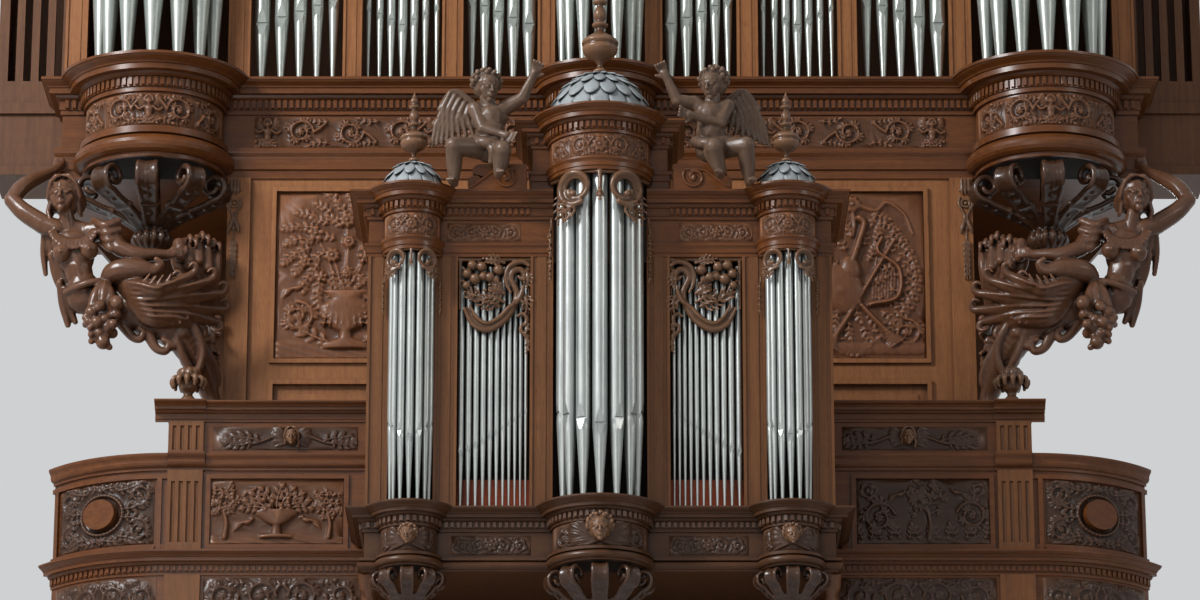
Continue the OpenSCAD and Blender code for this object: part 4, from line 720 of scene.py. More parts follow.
# Carved fields: friezes, drums and panels cut in low relief from the solid board, about 25 to 60 mm
# deep, with painted shade darkening the ground between the carving.
class Relief:
    # A board as a height map, on which stems, leaves, fruit and turned forms are raised.
    def __init__(self, width, height, cell, seed=1):
        self.wide, self.high = width, height
        self.nx, self.ny = int(round(width / cell)), int(round(height / cell))
        self.x = np.linspace(-width / 2, width / 2, self.nx + 1)[:, None]
        self.y = np.linspace(-height / 2, height / 2, self.ny + 1)[None, :]
        self.up = np.zeros((self.nx + 1, self.ny + 1))
        self.rng = np.random.default_rng(seed)

    def near(self, x, y, r):
        i0, i1 = np.searchsorted(self.x[:, 0], (x - r, x + r))
        j0, j1 = np.searchsorted(self.y[0], (y - r, y + r))
        return slice(i0, i1), slice(j0, j1)

    def drop(self, x, y, a, b, turn, high, vein=0.0, lift=0.0):
        i, k = self.near(x, y, max(a, b))
        c, s = math.cos(turn), math.sin(turn)
        dx, dy = self.x[i] - x, self.y[:, k] - y
        p, q = (dx * c + dy * s) / a, (dy * c - dx * s) / b
        inside = np.clip(1.0 - p * p - q * q, 0.0, None)
        cap = np.sqrt(inside) * high * (1.0 - vein * np.exp(-(q / 0.22) ** 2)) + lift * (inside > 0)
        self.up[i, k] = np.maximum(self.up[i, k], cap)

    def stem(self, points, r0, r1, high):
        path = flowing([(*p, 0.0) for p in points], 14 * (len(points) - 1))
        for n, (x, y, _) in enumerate(path):
            r = r0 + (r1 - r0) * n / (len(path) - 1)
            self.drop(x, y, r, r, 0.0, high * (0.6 + 0.4 * r / max(r0, r1)))

    def leaf(self, x, y, turn, length, width, bend, high, lobes=4):
        step = length / (2 * lobes)
        for n in range(2 * lobes + 1):
            t = n / (2 * lobes)
            go = turn + bend * t
            if n % 2 == 0:
                reach = width * (0.45 + 0.55 * math.sin(math.pi * (0.15 + 0.7 * t))) * 0.62
                for way in (-1.0, 1.0):
                    out = go + way * (0.95 - 0.35 * t)
                    self.drop(x + math.cos(out) * reach * 0.62, y + math.sin(out) * reach * 0.62,
                              reach * 0.74, reach * 0.34, out, high * (0.95 - 0.25 * t), 0.45)
            self.drop(x, y, step * 1.1, width * 0.085 * (1.3 - t), go, high * (1.15 - 0.3 * t))
            x, y = x + math.cos(go) * step, y + math.sin(go) * step
        self.drop(x, y, step * 1.5, width * 0.2, turn + bend, high * 0.9, 0.3)

    def flower(self, x, y, r, high, petals=6):
        for n in range(petals):
            a = 2 * math.pi * n / petals + 0.3
            self.drop(x + math.cos(a) * r * 0.6, y + math.sin(a) * r * 0.6, r * 0.46, r * 0.33, a, high * 0.8,
                      0.3)
        self.drop(x, y, r * 0.3, r * 0.3, 0.0, high)

    def whorl(self, x, y, r, start, way, high, turns=1.35):
        path = []
        for n in range(15):
            t = n / 14
            a = start + way * 2 * math.pi * turns * t
            rr = r * (1.0 - 0.72 * t)
            path.append((x + rr * math.cos(a), y + rr * math.sin(a)))
        self.stem(path, r * 0.13, r * 0.08, high * 0.75)
        for t in (0.10, 0.26, 0.42, 0.58, 0.74):
            a = start + way * 2 * math.pi * turns * t
            rr = r * (1.0 - 0.72 * t)
            px, py = x + rr * math.cos(a), y + rr * math.sin(a)
            self.leaf(px, py, a + way * 1.15, r * (0.72 - 0.3 * t), r * 0.60 * (1 - 0.4 * t), way * 1.2,
                      high * 0.85, 3)
            self.leaf(px, py, a + way * 2.2, r * 0.36, r * 0.30, -way, high * 0.7, 2)
        self.flower(x, y, r * 0.30, high)

    def rinceau(self, x0, x1, high, count):
        # A running scroll from x0 to x1, its whorls turned up and down by turns.
        span = (x1 - x0) / count
        r = min(abs(span) * 0.40, self.high * 0.40)
        for n in range(count):
            cx = x0 + span * (n + 0.5)
            up = 1.0 if n % 2 else -1.0
            way = math.copysign(up, up * span)
            back, head = (math.pi, 0.0) if span > 0 else (0.0, math.pi)
            self.whorl(cx, 0.0, r, back, way, high)
            join = [(cx - span * 0.5, -up * self.high * 0.30), (cx - span * 0.38, -up * self.high * 0.12),
                    (cx - math.copysign(r, span), 0.0)]
            self.stem(join, r * 0.15, r * 0.14, high * 0.8)
            self.leaf(cx - span * 0.52, up * self.high * 0.36, head - way * 0.25,
                      abs(span) * 0.34, r * 0.5, way * 0.9, high * 0.75, 3)
            self.leaf(cx - span * 0.50, -up * self.high * 0.36, head + way * 0.25,
                      abs(span) * 0.30, r * 0.45, -way * 0.8, high * 0.7, 3)

    def scrolls(self, inner, outer, high, count):
        # The same running scroll outwards to both ends of a field.
        for way in (-1.0, 1.0):
            self.rinceau(way * inner, way * outer, high, count)

    def wings(self, x, y, size, high):
        for way in (-1.0, 1.0):
            for row in range(3):
                for n in range(5 - row):
                    rise = 0.62 - 0.25 * n + 0.1 * row
                    a = rise if way > 0 else math.pi - rise
                    reach = size * (0.95 + 0.12 * row - 0.10 * n)
                    self.drop(x + math.cos(a) * reach, y - size * 0.15 + math.sin(a) * reach * 0.9,
                              size * (0.72 - 0.14 * row), size * 0.16, a, high * (0.45 + 0.14 * row), 0.2)

    def bust(self, x, y, size, high):
        # A child's head with wings, the commonest filling of such a frieze.
        self.wings(x, y, size, high)
        for n in range(11):
            a = math.pi * (-0.12 + 1.24 * n / 10)
            self.drop(x + math.cos(a) * size * 0.42, y + size * 0.12 + math.sin(a) * size * 0.46,
                      size * 0.17, size * 0.15, a, high * 0.98)
        for dy, a, b, proud in ((0.0, 0.42, 0.52, 1.0), (-0.10, 0.30, 0.36, 1.10), (-0.05, 0.055, 0.16, 1.28),
                                (-0.27, 0.13, 0.045, 1.17), (-0.40, 0.11, 0.09, 1.10)):
            self.drop(x, y + size * dy, size * a, size * b, 0.0, high * proud)
        for way in (-1.0, 1.0):
            self.drop(x + way * size * 0.20, y - size * 0.13, size * 0.15, size * 0.14, 0.0, high * 1.14)
            self.drop(x + way * size * 0.16, y + size * 0.10, size * 0.12, size * 0.035, way * -0.1,
                      high * 1.16)

    def child(self, x, y, size, way, high):
        # A half-length child that rises from a leaf and reaches into the scroll beside it.
        self.bust(x, y + size * 0.30, size * 0.30, high)
        self.drop(x, y + size * 0.02, size * 0.15, size * 0.19, 0.0, high * 0.95)
        self.drop(x, y - size * 0.14, size * 0.13, size * 0.14, 0.0, high * 0.9)
        for arm in (((-0.12, 0.10), (-0.30, 0.02), (-0.42, 0.14)),
                    ((0.12, 0.10), (0.28, -0.02), (0.42, 0.06))):
            self.stem([(x + dx * size, y + dy * size) for dx, dy in arm], size * 0.055, size * 0.035,
                      high * 0.85)
        for turn in (-2.6, -2.1, -1.57, -1.05, -0.55):
            self.leaf(x, y - size * 0.18, turn, size * 0.34, size * 0.20, way * 0.5, high * 0.8, 3)

    def lathe(self, x, y0, rows, high):
        # A turned form seen from the front, as (height, half width) rows.
        for (ya, wa), (yb, wb) in zip(rows[:-1], rows[1:]):
            i, k = self.near(x, y0 + (ya + yb) / 2, max(wa, wb, (yb - ya) / 2) + 0.01)
            t = np.clip((self.y[:, k] - y0 - ya) / max(yb - ya, 1e-4), 0.0, 1.0)
            inside = (self.y[:, k] - y0 >= ya) & (self.y[:, k] - y0 <= yb)
            half = wa + (wb - wa) * t
            round_off = np.sqrt(np.clip(1.0 - ((self.x[i] - x) / half) ** 2, 0.0, None))
            cap = round_off * high * np.minimum(1.0, 0.45 + half / 0.12)
            self.up[i, k] = np.maximum(self.up[i, k], cap * inside)

    def tree(self, x, y0, size, high):
        trunk = [(x, y0), (x + 0.03 * size, y0 + 0.25 * size), (x - 0.02 * size, y0 + 0.5 * size)]
        self.stem(trunk, size * 0.055, size * 0.035, high * 0.8)
        for _ in range(34):
            a, r = self.rng.uniform(0, 2 * math.pi), math.sqrt(self.rng.uniform(0, 1))
            cx, cy = x + math.cos(a) * r * size * 0.30, y0 + size * 0.68 + math.sin(a) * r * size * 0.27
            self.leaf(cx, cy, self.rng.uniform(0, 2 * math.pi), size * 0.10, size * 0.10, 0.6,
                      high * (1.0 - 0.35 * r), 2)

    def bird(self, x, y, size, way, high):
        for n in range(5):
            self.drop(x - way * size * (0.50 + 0.04 * n), y - size * (0.02 + 0.09 * n),
                      size * 0.40, size * 0.06, way * (0.25 + 0.1 * n), high * 0.7, 0.3)
        self.drop(x, y, size * 0.32, size * 0.17, way * 0.35, high)
        for n in range(4):
            self.drop(x - way * size * (0.06 + 0.08 * n), y + size * (0.06 - 0.03 * n),
                      size * 0.22, size * 0.055, way * 0.2, high * 1.12, 0.3)
        self.drop(x + way * size * 0.26, y + size * 0.20, size * 0.12, size * 0.11, 0.0, high * 1.05)
        self.drop(x + way * size * 0.39, y + size * 0.19, size * 0.08, size * 0.03, 0.0, high * 0.9)

    def ground(self, base, amount, waves):
        hill = base + amount * np.sin(self.x * waves + 0.7) + amount * 0.5 * np.sin(self.x * waves * 2.3)
        depth = np.clip((hill - self.y) / 0.05, 0.0, 1.0)
        self.up = np.maximum(self.up, 0.012 * depth + 0.004 * depth * np.sin((self.y + 0.3 * self.x) * 90.0))

    def board(self, name, place, deep, finish):
        # The map, softened once and let down to its edge, on a grid that is closed behind and thinned out.
        up = self.up
        up = (up + np.roll(up, 1, 0) + np.roll(up, -1, 0) + np.roll(up, 1, 1) + np.roll(up, -1, 1)) / 5.0
        up[0, :] = up[-1, :] = 0.0
        up[:, 0] = up[:, -1] = 0.0
        shape = bmesh.new()
        bmesh.ops.create_grid(shape, x_segments=self.nx, y_segments=self.ny, size=0.5)
        mesh = bpy.data.meshes.new(name)
        shape.to_mesh(mesh)
        flat = np.empty(len(mesh.vertices) * 3)
        mesh.vertices.foreach_get("co", flat)
        flat = flat.reshape(-1, 3)
        i = np.rint((flat[:, 0] + 0.5) * self.nx).astype(int)
        k = np.rint((flat[:, 1] + 0.5) * self.ny).astype(int)
        solid = place(self.x[i, 0], self.y[0, k], up[i, k] + 0.002)
        mesh.vertices.foreach_set("co", np.column_stack(solid).ravel())
        shape.clear()
        shape.from_mesh(mesh)
        edge = [e for e in shape.edges if e.is_boundary]
        behind = bmesh.ops.extrude_edge_only(shape, edges=edge)["geom"]
        corners = [v for v in behind if isinstance(v, bmesh.types.BMVert)]
        across, along = place.unroll(np.array([tuple(v.co) for v in corners]))
        for corner, spot in zip(corners, np.column_stack(place(across, along, np.full(len(corners), -deep)))):
            corner.co = spot
        bmesh.ops.holes_fill(shape, edges=[e for e in shape.edges if e.is_boundary], sides=0)
        bmesh.ops.triangulate(shape, faces=[f for f in shape.faces if len(f.verts) > 4])
        bmesh.ops.recalc_face_normals(shape, faces=shape.faces)
        shape.to_mesh(mesh)
        shape.free()
        holder = bpy.data.objects.new(name + "_block", mesh)
        scene.collection.objects.link(holder)
        thin = holder.modifiers.new("thin", "DECIMATE")
        thin.ratio = 0.45
        cut = bpy.data.meshes.new_from_object(holder.evaluated_get(bpy.context.evaluated_depsgraph_get()))
        bpy.data.objects.remove(holder)
        cut.name = name
        settle(name, cut, finish)


class OnWall:
    # A flat field that faces the nave, around a middle point.
    def __init__(self, x, y, z):
        self.x, self.y, self.z = x, y, z

    def __call__(self, x, z, out):
        return self.x + x, self.y - out, self.z + z

    def unroll(self, spots):
        return spots[:, 0] - self.x, spots[:, 2] - self.z


class OnDrum:
    # A field wrapped round an upright drum, around its front.
    def __init__(self, x, y, z, radius, turn=0.0):
        self.x, self.y, self.z, self.radius, self.turn = x, y, z, radius, turn

    def __call__(self, x, z, out):
        a = x / self.radius + self.turn
        return self.x + (self.radius + out) * np.sin(a), self.y - (self.radius + out) * np.cos(a), self.z + z

    def unroll(self, spots):
        a = np.arctan2(spots[:, 0] - self.x, self.y - spots[:, 1]) - self.turn
        return a * self.radius, spots[:, 2] - self.z


oak_head = oak("oak_head", (0.231, 0.115, 0.058), (0.138, 0.065, 0.034), "z",
               rough=0.34, hollow_shading=0.95, coat=0.21, figure=0.6, reach=0.06, sheen_wear_and_crease_shade=0.8)
oak_frieze = oak("oak_frieze", (0.185, 0.077, 0.035), (0.100, 0.040, 0.018), "x",
                 rough=0.42, hollow_shading=0.95, coat=0.09, figure=0.6, reach=0.05, sheen_wear_and_crease_shade=1.0)
oak_black = oak("oak_dark_relief", (0.092, 0.042, 0.022), (0.046, 0.021, 0.012), "x",
                rough=0.40, hollow_shading=0.95, coat=0.132, figure=0.6, reach=0.05, sheen_wear_and_crease_shade=1.0)
halves = (("left", -1.0), ("right", 1.0))
# Where the fields go: the front plane and side drums of both cases, and the round ends of the parapet.
case_front, side_drum = -1.0, 1.685
great_front, great_drum = 2.0, 4.325
end_x, end_r, end_turn = 3.92, 1.35, math.radians(26.4)
for side, way in halves:
    frieze = Relief(2.74, 0.315, 0.0065)
    frieze.rinceau(way * -0.30, way * 1.16, 0.042, 3)
    frieze.rinceau(way * -0.52, way * -1.34, 0.042, 2)
    frieze.child(way * -0.41, -0.01, 0.30, way, 0.046)
    frieze.child(way * 1.24, -0.01, 0.30, way, 0.046)
    frieze.board("great_frieze_" + side, OnWall(way * 1.99, great_front, 6.26), 0.012, oak_frieze)
    band = Relief(1.82, 0.315, 0.0065)
    band.child(0.0, -0.01, 0.30, 1.0, 0.046)
    band.scrolls(0.10, 0.88, 0.042, 2)
    band.board("great_drum_frieze_" + side, OnDrum(way * great_drum, great_front, 6.26, 0.67), 0.012,
               oak_frieze)
band = Relief(1.24, 0.315, 0.0075)
band.bust(0.0, 0.0, 0.13, 0.036)
band.scrolls(0.12, 0.60, 0.042, 1)
band.board("great_middle_drum_frieze", OnDrum(0.0, great_front, 6.26, 0.47), 0.012, oak_frieze)

for side, way in halves:
    panel = Relief(0.66, 0.17, 0.005)
    panel.scrolls(0.04, 0.31, 0.016, 2)
    panel.flower(0.0, 0.0, 0.05, 0.02)
    panel.board("head_frieze_" + side, OnWall(way * 1.045, case_front, 4.215), 0.010, oak_frieze)
    panel = Relief(0.64, 0.205, 0.005)
    panel.scrolls(0.04, 0.31, 0.018, 1)
    panel.flower(0.0, 0.0, 0.055, 0.024, 8)
    panel.board("side_head_frieze_" + side, OnDrum(way * side_drum, case_front, 4.215, 0.256), 0.010,
                oak_frieze)
    panel = Relief(0.70, 0.175, 0.005)
    panel.scrolls(0.04, 0.33, 0.018, 2)
    panel.flower(0.0, 0.0, 0.06, 0.022)
    panel.board("base_frieze_" + side, OnWall(way * 0.96, case_front, 1.30), 0.010, oak_black)
    panel = Relief(0.64, 0.225, 0.005)
    panel.wings(0.0, -0.01, 0.150, 0.046)
    panel.leaf(0.19, -0.07, 0.6, 0.13, 0.09, 0.9, 0.02)
    panel.leaf(-0.19, -0.07, math.pi - 0.6, 0.13, 0.09, -0.9, 0.02)
    panel.board("side_base_frieze_" + side, OnDrum(way * side_drum, case_front, 1.30, 0.25), 0.010, oak_black)
panel = Relief(1.14, 0.205, 0.005)
panel.scrolls(0.06, 0.56, 0.020, 2)
panel.flower(0.0, 0.0, 0.07, 0.026, 8)
panel.board("middle_head_frieze", OnDrum(0.0, case_front, 4.895, 0.455), 0.010, oak_frieze)
panel = Relief(1.08, 0.225, 0.005)
panel.wings(0.0, -0.02, 0.215, 0.060)
panel.whorl(0.36, -0.01, 0.085, math.pi, 1.0, 0.024)
panel.whorl(-0.36, -0.01, 0.085, 0.0, -1.0, 0.024)
panel.board("middle_base_frieze", OnDrum(0.0, case_front, 1.30, 0.425), 0.010, oak_black)

for side, way in halves:
    calm_head("base_head_" + side, (way * side_drum, -1.305, 1.318), 0.175, way * 0.15, 0.10, "tufts",
              oak_head, False)
    calm_head("screen_head_" + side, (way * 2.80, -0.055, 2.580), 0.165, 0.0, 0.05, "waves", oak_head, False)
calm_head("base_head_middle", (0.0, -1.490, 1.325), 0.245, 0.0, 0.10, "tufts", oak_head, False)

# Parapet: two framed landscapes and two curved fields of scrollwork round an oval, carved in oak
# boards that are stained dark, with narrow friezes in the rail screen and under the gallery cornice.
for side, way in halves:
    panel = Relief(1.20, 0.61, 0.006, 3 if way < 0 else 8)
    panel.ground(-0.22, 0.02, 7.0)
    if way < 0:
        panel.tree(-0.47, -0.24, 0.50, 0.034)
        panel.tree(0.47, -0.24, 0.46, 0.034)
        panel.lathe(0.0, -0.25, [(0, 0.16), (0.03, 0.16), (0.04, 0.05), (0.12, 0.04), (0.15, 0.10),
                                 (0.22, 0.19), (0.25, 0.20), (0.27, 0.17)], 0.045)
        for n in range(9):
            a = math.pi * (0.08 + 0.105 * n)
            panel.leaf(0.12 * math.cos(a), 0.02 + 0.03 * math.sin(a), a, 0.17, 0.10, 0.5 if n > 4 else -0.5,
                       0.034, 3)
        for n in range(9):
            panel.drop(panel.rng.uniform(-0.14, 0.14), panel.rng.uniform(0.0, 0.12), 0.030, 0.030, 0.0, 0.050)
        panel.bird(-0.26, -0.10, 0.14, 1.0, 0.030)
        panel.bird(0.27, -0.08, 0.14, -1.0, 0.030)
        panel.bird(-0.22, 0.20, 0.10, 1.0, 0.024)
    else:
        panel.tree(0.05, -0.26, 0.56, 0.036)
        panel.whorl(-0.40, -0.06, 0.15, 0.3, 1.0, 0.034)
        panel.whorl(0.44, -0.04, 0.14, math.pi - 0.3, -1.0, 0.034)
        panel.bird(-0.20, 0.16, 0.13, 1.0, 0.030)
        panel.bird(0.30, 0.18, 0.13, -1.0, 0.030)
        for n in range(14):
            panel.leaf(-0.56 + 0.086 * n, -0.25, 1.57 + 0.3 * (-1) ** n, 0.12, 0.07, 0.3, 0.026, 3)
        panel.whorl(-0.50, 0.20, 0.075, 0.0, -1.0, 0.026)
        panel.whorl(0.50, 0.21, 0.070, math.pi, 1.0, 0.026)
    # The right landscape takes the darker oak as painted shade, since it is lit less than the left.
    panel.board("parapet_relief_" + side, OnWall(way * 2.9225, 0.0, 1.885), 0.010,
                oak_frieze if way < 0 else oak_black)
    field = Relief(1.02, 0.60, 0.006)
    for a in range(0, 360, 10):
        t = math.radians(a)
        field.drop(0.215 * math.cos(t), 0.185 * math.sin(t), 0.026, 0.018, t + math.pi / 2, 0.030)
    for sx in (-1.0, 1.0):
        for sy in (-1.0, 1.0):
            turn = 1.0 if sx * sy > 0 else -1.0
            field.whorl(sx * 0.37, sy * 0.165, 0.105, math.atan2(-sy, -sx), turn, 0.034)
            field.leaf(sx * 0.19, sy * 0.215, math.atan2(sy * 0.12, sx), 0.20, 0.11, turn * 0.5, 0.028)
            field.leaf(sx * 0.25, sy * 0.04, 0.0 if sx > 0 else math.pi, 0.21, 0.10, turn * 0.9, 0.030)
            field.leaf(sx * 0.02, sy * 0.235, math.atan2(sy * 0.3, sx), 0.16, 0.08, -turn * 0.4, 0.024, 3)
    field.flower(0.0, 0.25, 0.045, 0.034)
    field.flower(0.0, -0.25, 0.045, 0.034)
    field.board("parapet_end_relief_" + side, OnDrum(way * end_x, end_r, 1.885, end_r, way * end_turn), 0.008,
                oak_black)
    strip = Relief(1.32, 0.22, 0.006)
    strip.wings(way * -0.06, 0.0, 0.13, 0.036)
    for end in (-1.0, 1.0):
        x = way * -0.06 + end * 0.36
        strip.stem([(x - end * 0.20, 0.02), (x, -0.05), (x + end * 0.14, 0.02), (x + end * 0.24, -0.01)],
                   0.016, 0.010, 0.02)
        strip.leaf(x - end * 0.05, -0.02, 0.35 if end > 0 else math.pi - 0.35, 0.24, 0.11, end * -0.7, 0.022)
        strip.leaf(x + end * 0.02, -0.04, -0.4 if end > 0 else math.pi + 0.4, 0.20, 0.10, end * 0.8, 0.022)
    strip.board("screen_frieze_" + side, OnWall(way * 2.86, 0.0, 2.575), 0.010, oak_black)
    strip = Relief(1.42, 0.34, 0.0075)
    strip.scrolls(0.02, 0.70, 0.026, 2)
    strip.board("gallery_frieze_" + side, OnWall(way * 2.86, 0.0, 1.10), 0.010, oak_black)
    strip = Relief(1.10, 0.34, 0.0075)
    strip.scrolls(0.02, 0.54, 0.026, 2)
    strip.board("gallery_end_frieze_" + side, OnDrum(way * end_x, end_r, 1.10, end_r, way * end_turn), 0.008,
                oak_black)

# The two large panels of the great case: pale oak boards carved with a vase of flowers on one
# side and a hanging trophy of instruments on the other, set loose in the moulded frames.
oak_panel = oak("oak_great_relief", (0.231, 0.092, 0.040), (0.138, 0.051, 0.022), "z",
                rough=0.42, hollow_shading=0.95, coat=0.09, figure=0.6, reach=0.06, sheen_wear_and_crease_shade=1.0)
panel = Relief(1.36, 1.68, 0.0085, 5)
panel.ground(-0.62, 0.03, 5.0)
panel.lathe(0.0, -0.74, [(0, 0.24), (0.05, 0.24), (0.06, 0.20), (0.10, 0.07), (0.17, 0.06), (0.22, 0.16),
                         (0.34, 0.25), (0.42, 0.26), (0.47, 0.20), (0.50, 0.15), (0.55, 0.19), (0.58, 0.22)],
            0.055)
for n in range(8):
    panel.leaf(-0.21 + 0.06 * n, -0.50, 1.57 + 0.06 * (n - 3.5), 0.16, 0.07, 0.0, 0.066, 3)
for n, (x, y) in enumerate(((-0.30, 0.42), (0.28, 0.48), (0.0, 0.56), (-0.14, 0.20), (0.18, 0.18),
                            (-0.40, 0.14), (0.42, 0.20), (0.02, 0.34), (-0.24, -0.02), (0.26, -0.02),
                            (0.0, 0.02))):
    panel.stem([(0.02 * (n - 5), -0.18), (x * 0.55, (y - 0.18) / 2), (x, y)], 0.014, 0.010, 0.020)
    panel.flower(x, y, 0.085 - 0.003 * n, 0.052, 5 + n % 4)
for n in range(46):
    a, r = n * leaf_turn, 0.10 + 0.46 * math.sqrt((n + 0.5) / 46)
    panel.leaf(math.cos(a) * r * 0.95, 0.26 + math.sin(a) * r * 0.92, a + 0.4, 0.14, 0.09, 0.5, 0.030, 3)
for way in (-1.0, 1.0):
    panel.whorl(way * 0.46, -0.42, 0.155, 1.57, way, 0.036)
    panel.bird(way * 0.46, -0.13, 0.17, -way, 0.036)
    panel.leaf(way * 0.20, -0.66, 0.3 if way > 0 else math.pi - 0.3, 0.36, 0.14, way * 0.6, 0.034)
panel.board("great_relief_left", OnWall(-2.44, 2.008, 4.80), 0.012, oak_panel)
panel = Relief(1.36, 1.68, 0.0085, 6)
for way in (-1.0, 1.0):
    panel.stem([(0.0, 0.74), (way * 0.22, 0.66), (way * 0.34, 0.74), (way * 0.50, 0.62), (way * 0.58, 0.42)],
               0.028, 0.014, 0.024)
    panel.whorl(way * 0.50, -0.58, 0.14, 1.57, -way, 0.036)
    for n in range(16):
        t = n / 15
        x, y = way * (0.60 * math.sin(math.pi * (0.12 + 0.80 * t))), 0.62 - 1.34 * t
        panel.leaf(x, y, -1.57 + way * (0.9 - 1.8 * t) * 1.2, 0.13, 0.075, way * 0.3, 0.030, 3)
        panel.leaf(x, y, -1.57 - way * (0.2 + 1.2 * t), 0.10, 0.06, -way * 0.3, 0.026, 2)
panel.flower(0.0, 0.72, 0.085, 0.045, 8)
panel.stem([(0.0, 0.66), (0.02, 0.52), (0.0, 0.40)], 0.018, 0.018, 0.022)
panel.drop(-0.10, -0.14, 0.20, 0.26, 0.25, 0.060)
panel.drop(-0.02, 0.06, 0.10, 0.14, 0.25, 0.062)
for n in range(3):
    panel.stem([(-0.14 + 0.03 * n, -0.30), (-0.02 + 0.02 * n, 0.10), (0.09 + 0.012 * n, 0.50)], 0.006, 0.005,
               0.072)
panel.stem([(-0.02, 0.10), (0.06, 0.34), (0.11, 0.52), (0.06, 0.58)], 0.036, 0.030, 0.060)
panel.drop(-0.11, -0.16, 0.055, 0.055, 0.0, 0.020, 0.0, 0.048)
panel.stem([(0.40, 0.36), (0.20, 0.02), (-0.02, -0.36), (-0.16, -0.58)], 0.018, 0.030, 0.046)
for n in range(7):
    panel.drop(-0.17 - 0.012 * n, -0.60 - 0.020 * n, 0.035 + 0.012 * n, 0.016, 1.05 - 1.57, 0.050)
panel.stem([(-0.42, 0.34), (-0.24, 0.06), (0.12, -0.36), (0.30, -0.56)], 0.018, 0.030, 0.042)
for n in range(7):
    panel.drop(0.31 + 0.016 * n, -0.57 - 0.020 * n, 0.035 + 0.012 * n, 0.016, 2.2 - 1.57, 0.046)
panel.stem([(0.16, -0.30), (0.42, -0.22), (0.44, 0.06), (0.24, 0.24), (0.28, 0.38)], 0.026, 0.018, 0.052)
for n in range(8):
    panel.stem([(0.18 + 0.030 * n, -0.28 + 0.010 * n), (0.20 + 0.028 * n, 0.0),
                (0.24 + 0.022 * n, 0.22 - 0.022 * n)], 0.005, 0.005, 0.036)
for n in range(26):
    a = n * leaf_turn
    r = 0.16 + 0.30 * math.sqrt(n / 26)
    panel.leaf(math.cos(a) * r, -0.06 + math.sin(a) * r * 1.1, a, 0.14, 0.08, 0.5, 0.028, 3)
for x in np.linspace(-0.6, 0.6, 11):
    panel.drop(x, -0.74, 0.10, 0.07, 0.0, 0.022)
panel.board("great_relief_right", OnWall(2.44, 2.008, 4.80), 0.012, oak_panel)


# Hanging brackets under the drums: carved straps rolled into a scroll under each ring and gathered
# on a leaf boss, cut from one block each and doweled up from below. They only look as if they carry.
def hanging_bracket(name, centre, ring, drop, strap, spread, voxel, stands_for=()):
    figure = Carving()
    middle = Vector(centre)
    eye_r = strap * 0.92
    for n in range(5):
        turn = math.radians(spread * (n / 4 - 0.5))
        out = Vector((math.sin(turn), -math.cos(turn), 0.0))
        across = Vector((math.cos(turn), math.sin(turn), 0.0))
        path, widths = [], []
        for k in range(19):
            t = k / 18
            a = math.radians(330.0 - 420.0 * t)
            r = eye_r * (0.30 + 0.70 * t)
            path.append((ring - eye_r * 0.30 + r * math.cos(a), -eye_r * 1.08 + r * math.sin(a)))
            widths.append(strap * (0.50 + 0.06 * t))
        low = -eye_r * 2.08
        for t, reach in ((0.16, 0.80), (0.34, 0.60), (0.56, 0.42), (0.80, 0.28), (1.0, 0.15)):
            path.append((ring * reach, low - (low + drop - ring * 0.13) * t))
            widths.append(strap * (0.54 - 0.30 * t))
        curve = flowing([(r, z, 0.0) for r, z in path], 4 * (len(path) - 1))
        size = flowing([(w, 0.0, 0.0) for w in widths], len(curve) - 1)
        spots = [middle + out * r + straight_up(z) for r, z, _ in curve]
        for k in range(len(spots) - 1):
            here, there = across * size[k][0], across * size[k + 1][0]
            for side, thick in ((-1.0, 0.20), (-0.5, 0.14), (0.0, 0.13), (0.5, 0.14), (1.0, 0.20)):
                figure.limb(spots[k] + here * side, strap * thick, spots[k + 1] + there * side, strap * thick)
        for k in range(4 * 18, len(spots) - 6, 4):
            bead = (spots[k + 1] - spots[k]).cross(across).normalized() * strap * 0.10
            figure.ball(spots[k] + bead, strap * 0.17)
            figure.ball(spots[k] - bead, strap * 0.17)
        collar = 4 * 20
        half = across * size[collar][0] * 1.15
        figure.limb(spots[collar] - half, strap * 0.25, spots[collar] + half, strap * 0.25)
    boss = middle - straight_up(drop)
    figure.ball(boss, ring * 0.25, (1.0, 1.0, 0.62))
    for k in range(14):
        a = math.radians(360.0 / 14 * k)
        rim = Vector((math.cos(a), math.sin(a), 0.0))
        curve = [boss + rim * ring * away + straight_up(ring * rise)
                 for away, rise in ((0.06, -0.17), (0.19, -0.12), (0.265, 0.0), (0.20, 0.14))]
        figure.along(curve, [ring * 0.030, ring * 0.044, ring * 0.046, ring * 0.030], 9)
    figure.limb(boss, ring * 0.16, middle - straight_up(0.004), ring * 0.10)
    figure.skin(name, voxel, 1, oak_dark, stands_for)


def dark_soffit(name, x, y, z, r):
    # A thin disc under a drum, painted near black as painted shade behind the straps.
    shape = bmesh.new()
    bmesh.ops.create_circle(shape, cap_ends=True, segments=48, radius=r)
    bmesh.ops.bisect_plane(shape, geom=shape.verts[:] + shape.edges[:] + shape.faces[:],
                           plane_co=(0, -0.012, 0), plane_no=(0, 1, 0), clear_outer=True)
    raised = bmesh.ops.extrude_face_region(shape, geom=shape.faces[:])["geom"]
    lifted = [v for v in raised if isinstance(v, bmesh.types.BMVert)]
    bmesh.ops.translate(shape, verts=lifted, vec=(0, 0, 0.006))
    bmesh.ops.translate(shape, verts=shape.verts, vec=(x, y, z - 0.005))
    mesh = bpy.data.meshes.new(name)
    shape.to_mesh(mesh)
    shape.free()
    settle(name, mesh, painted_shade_oak, (), False)


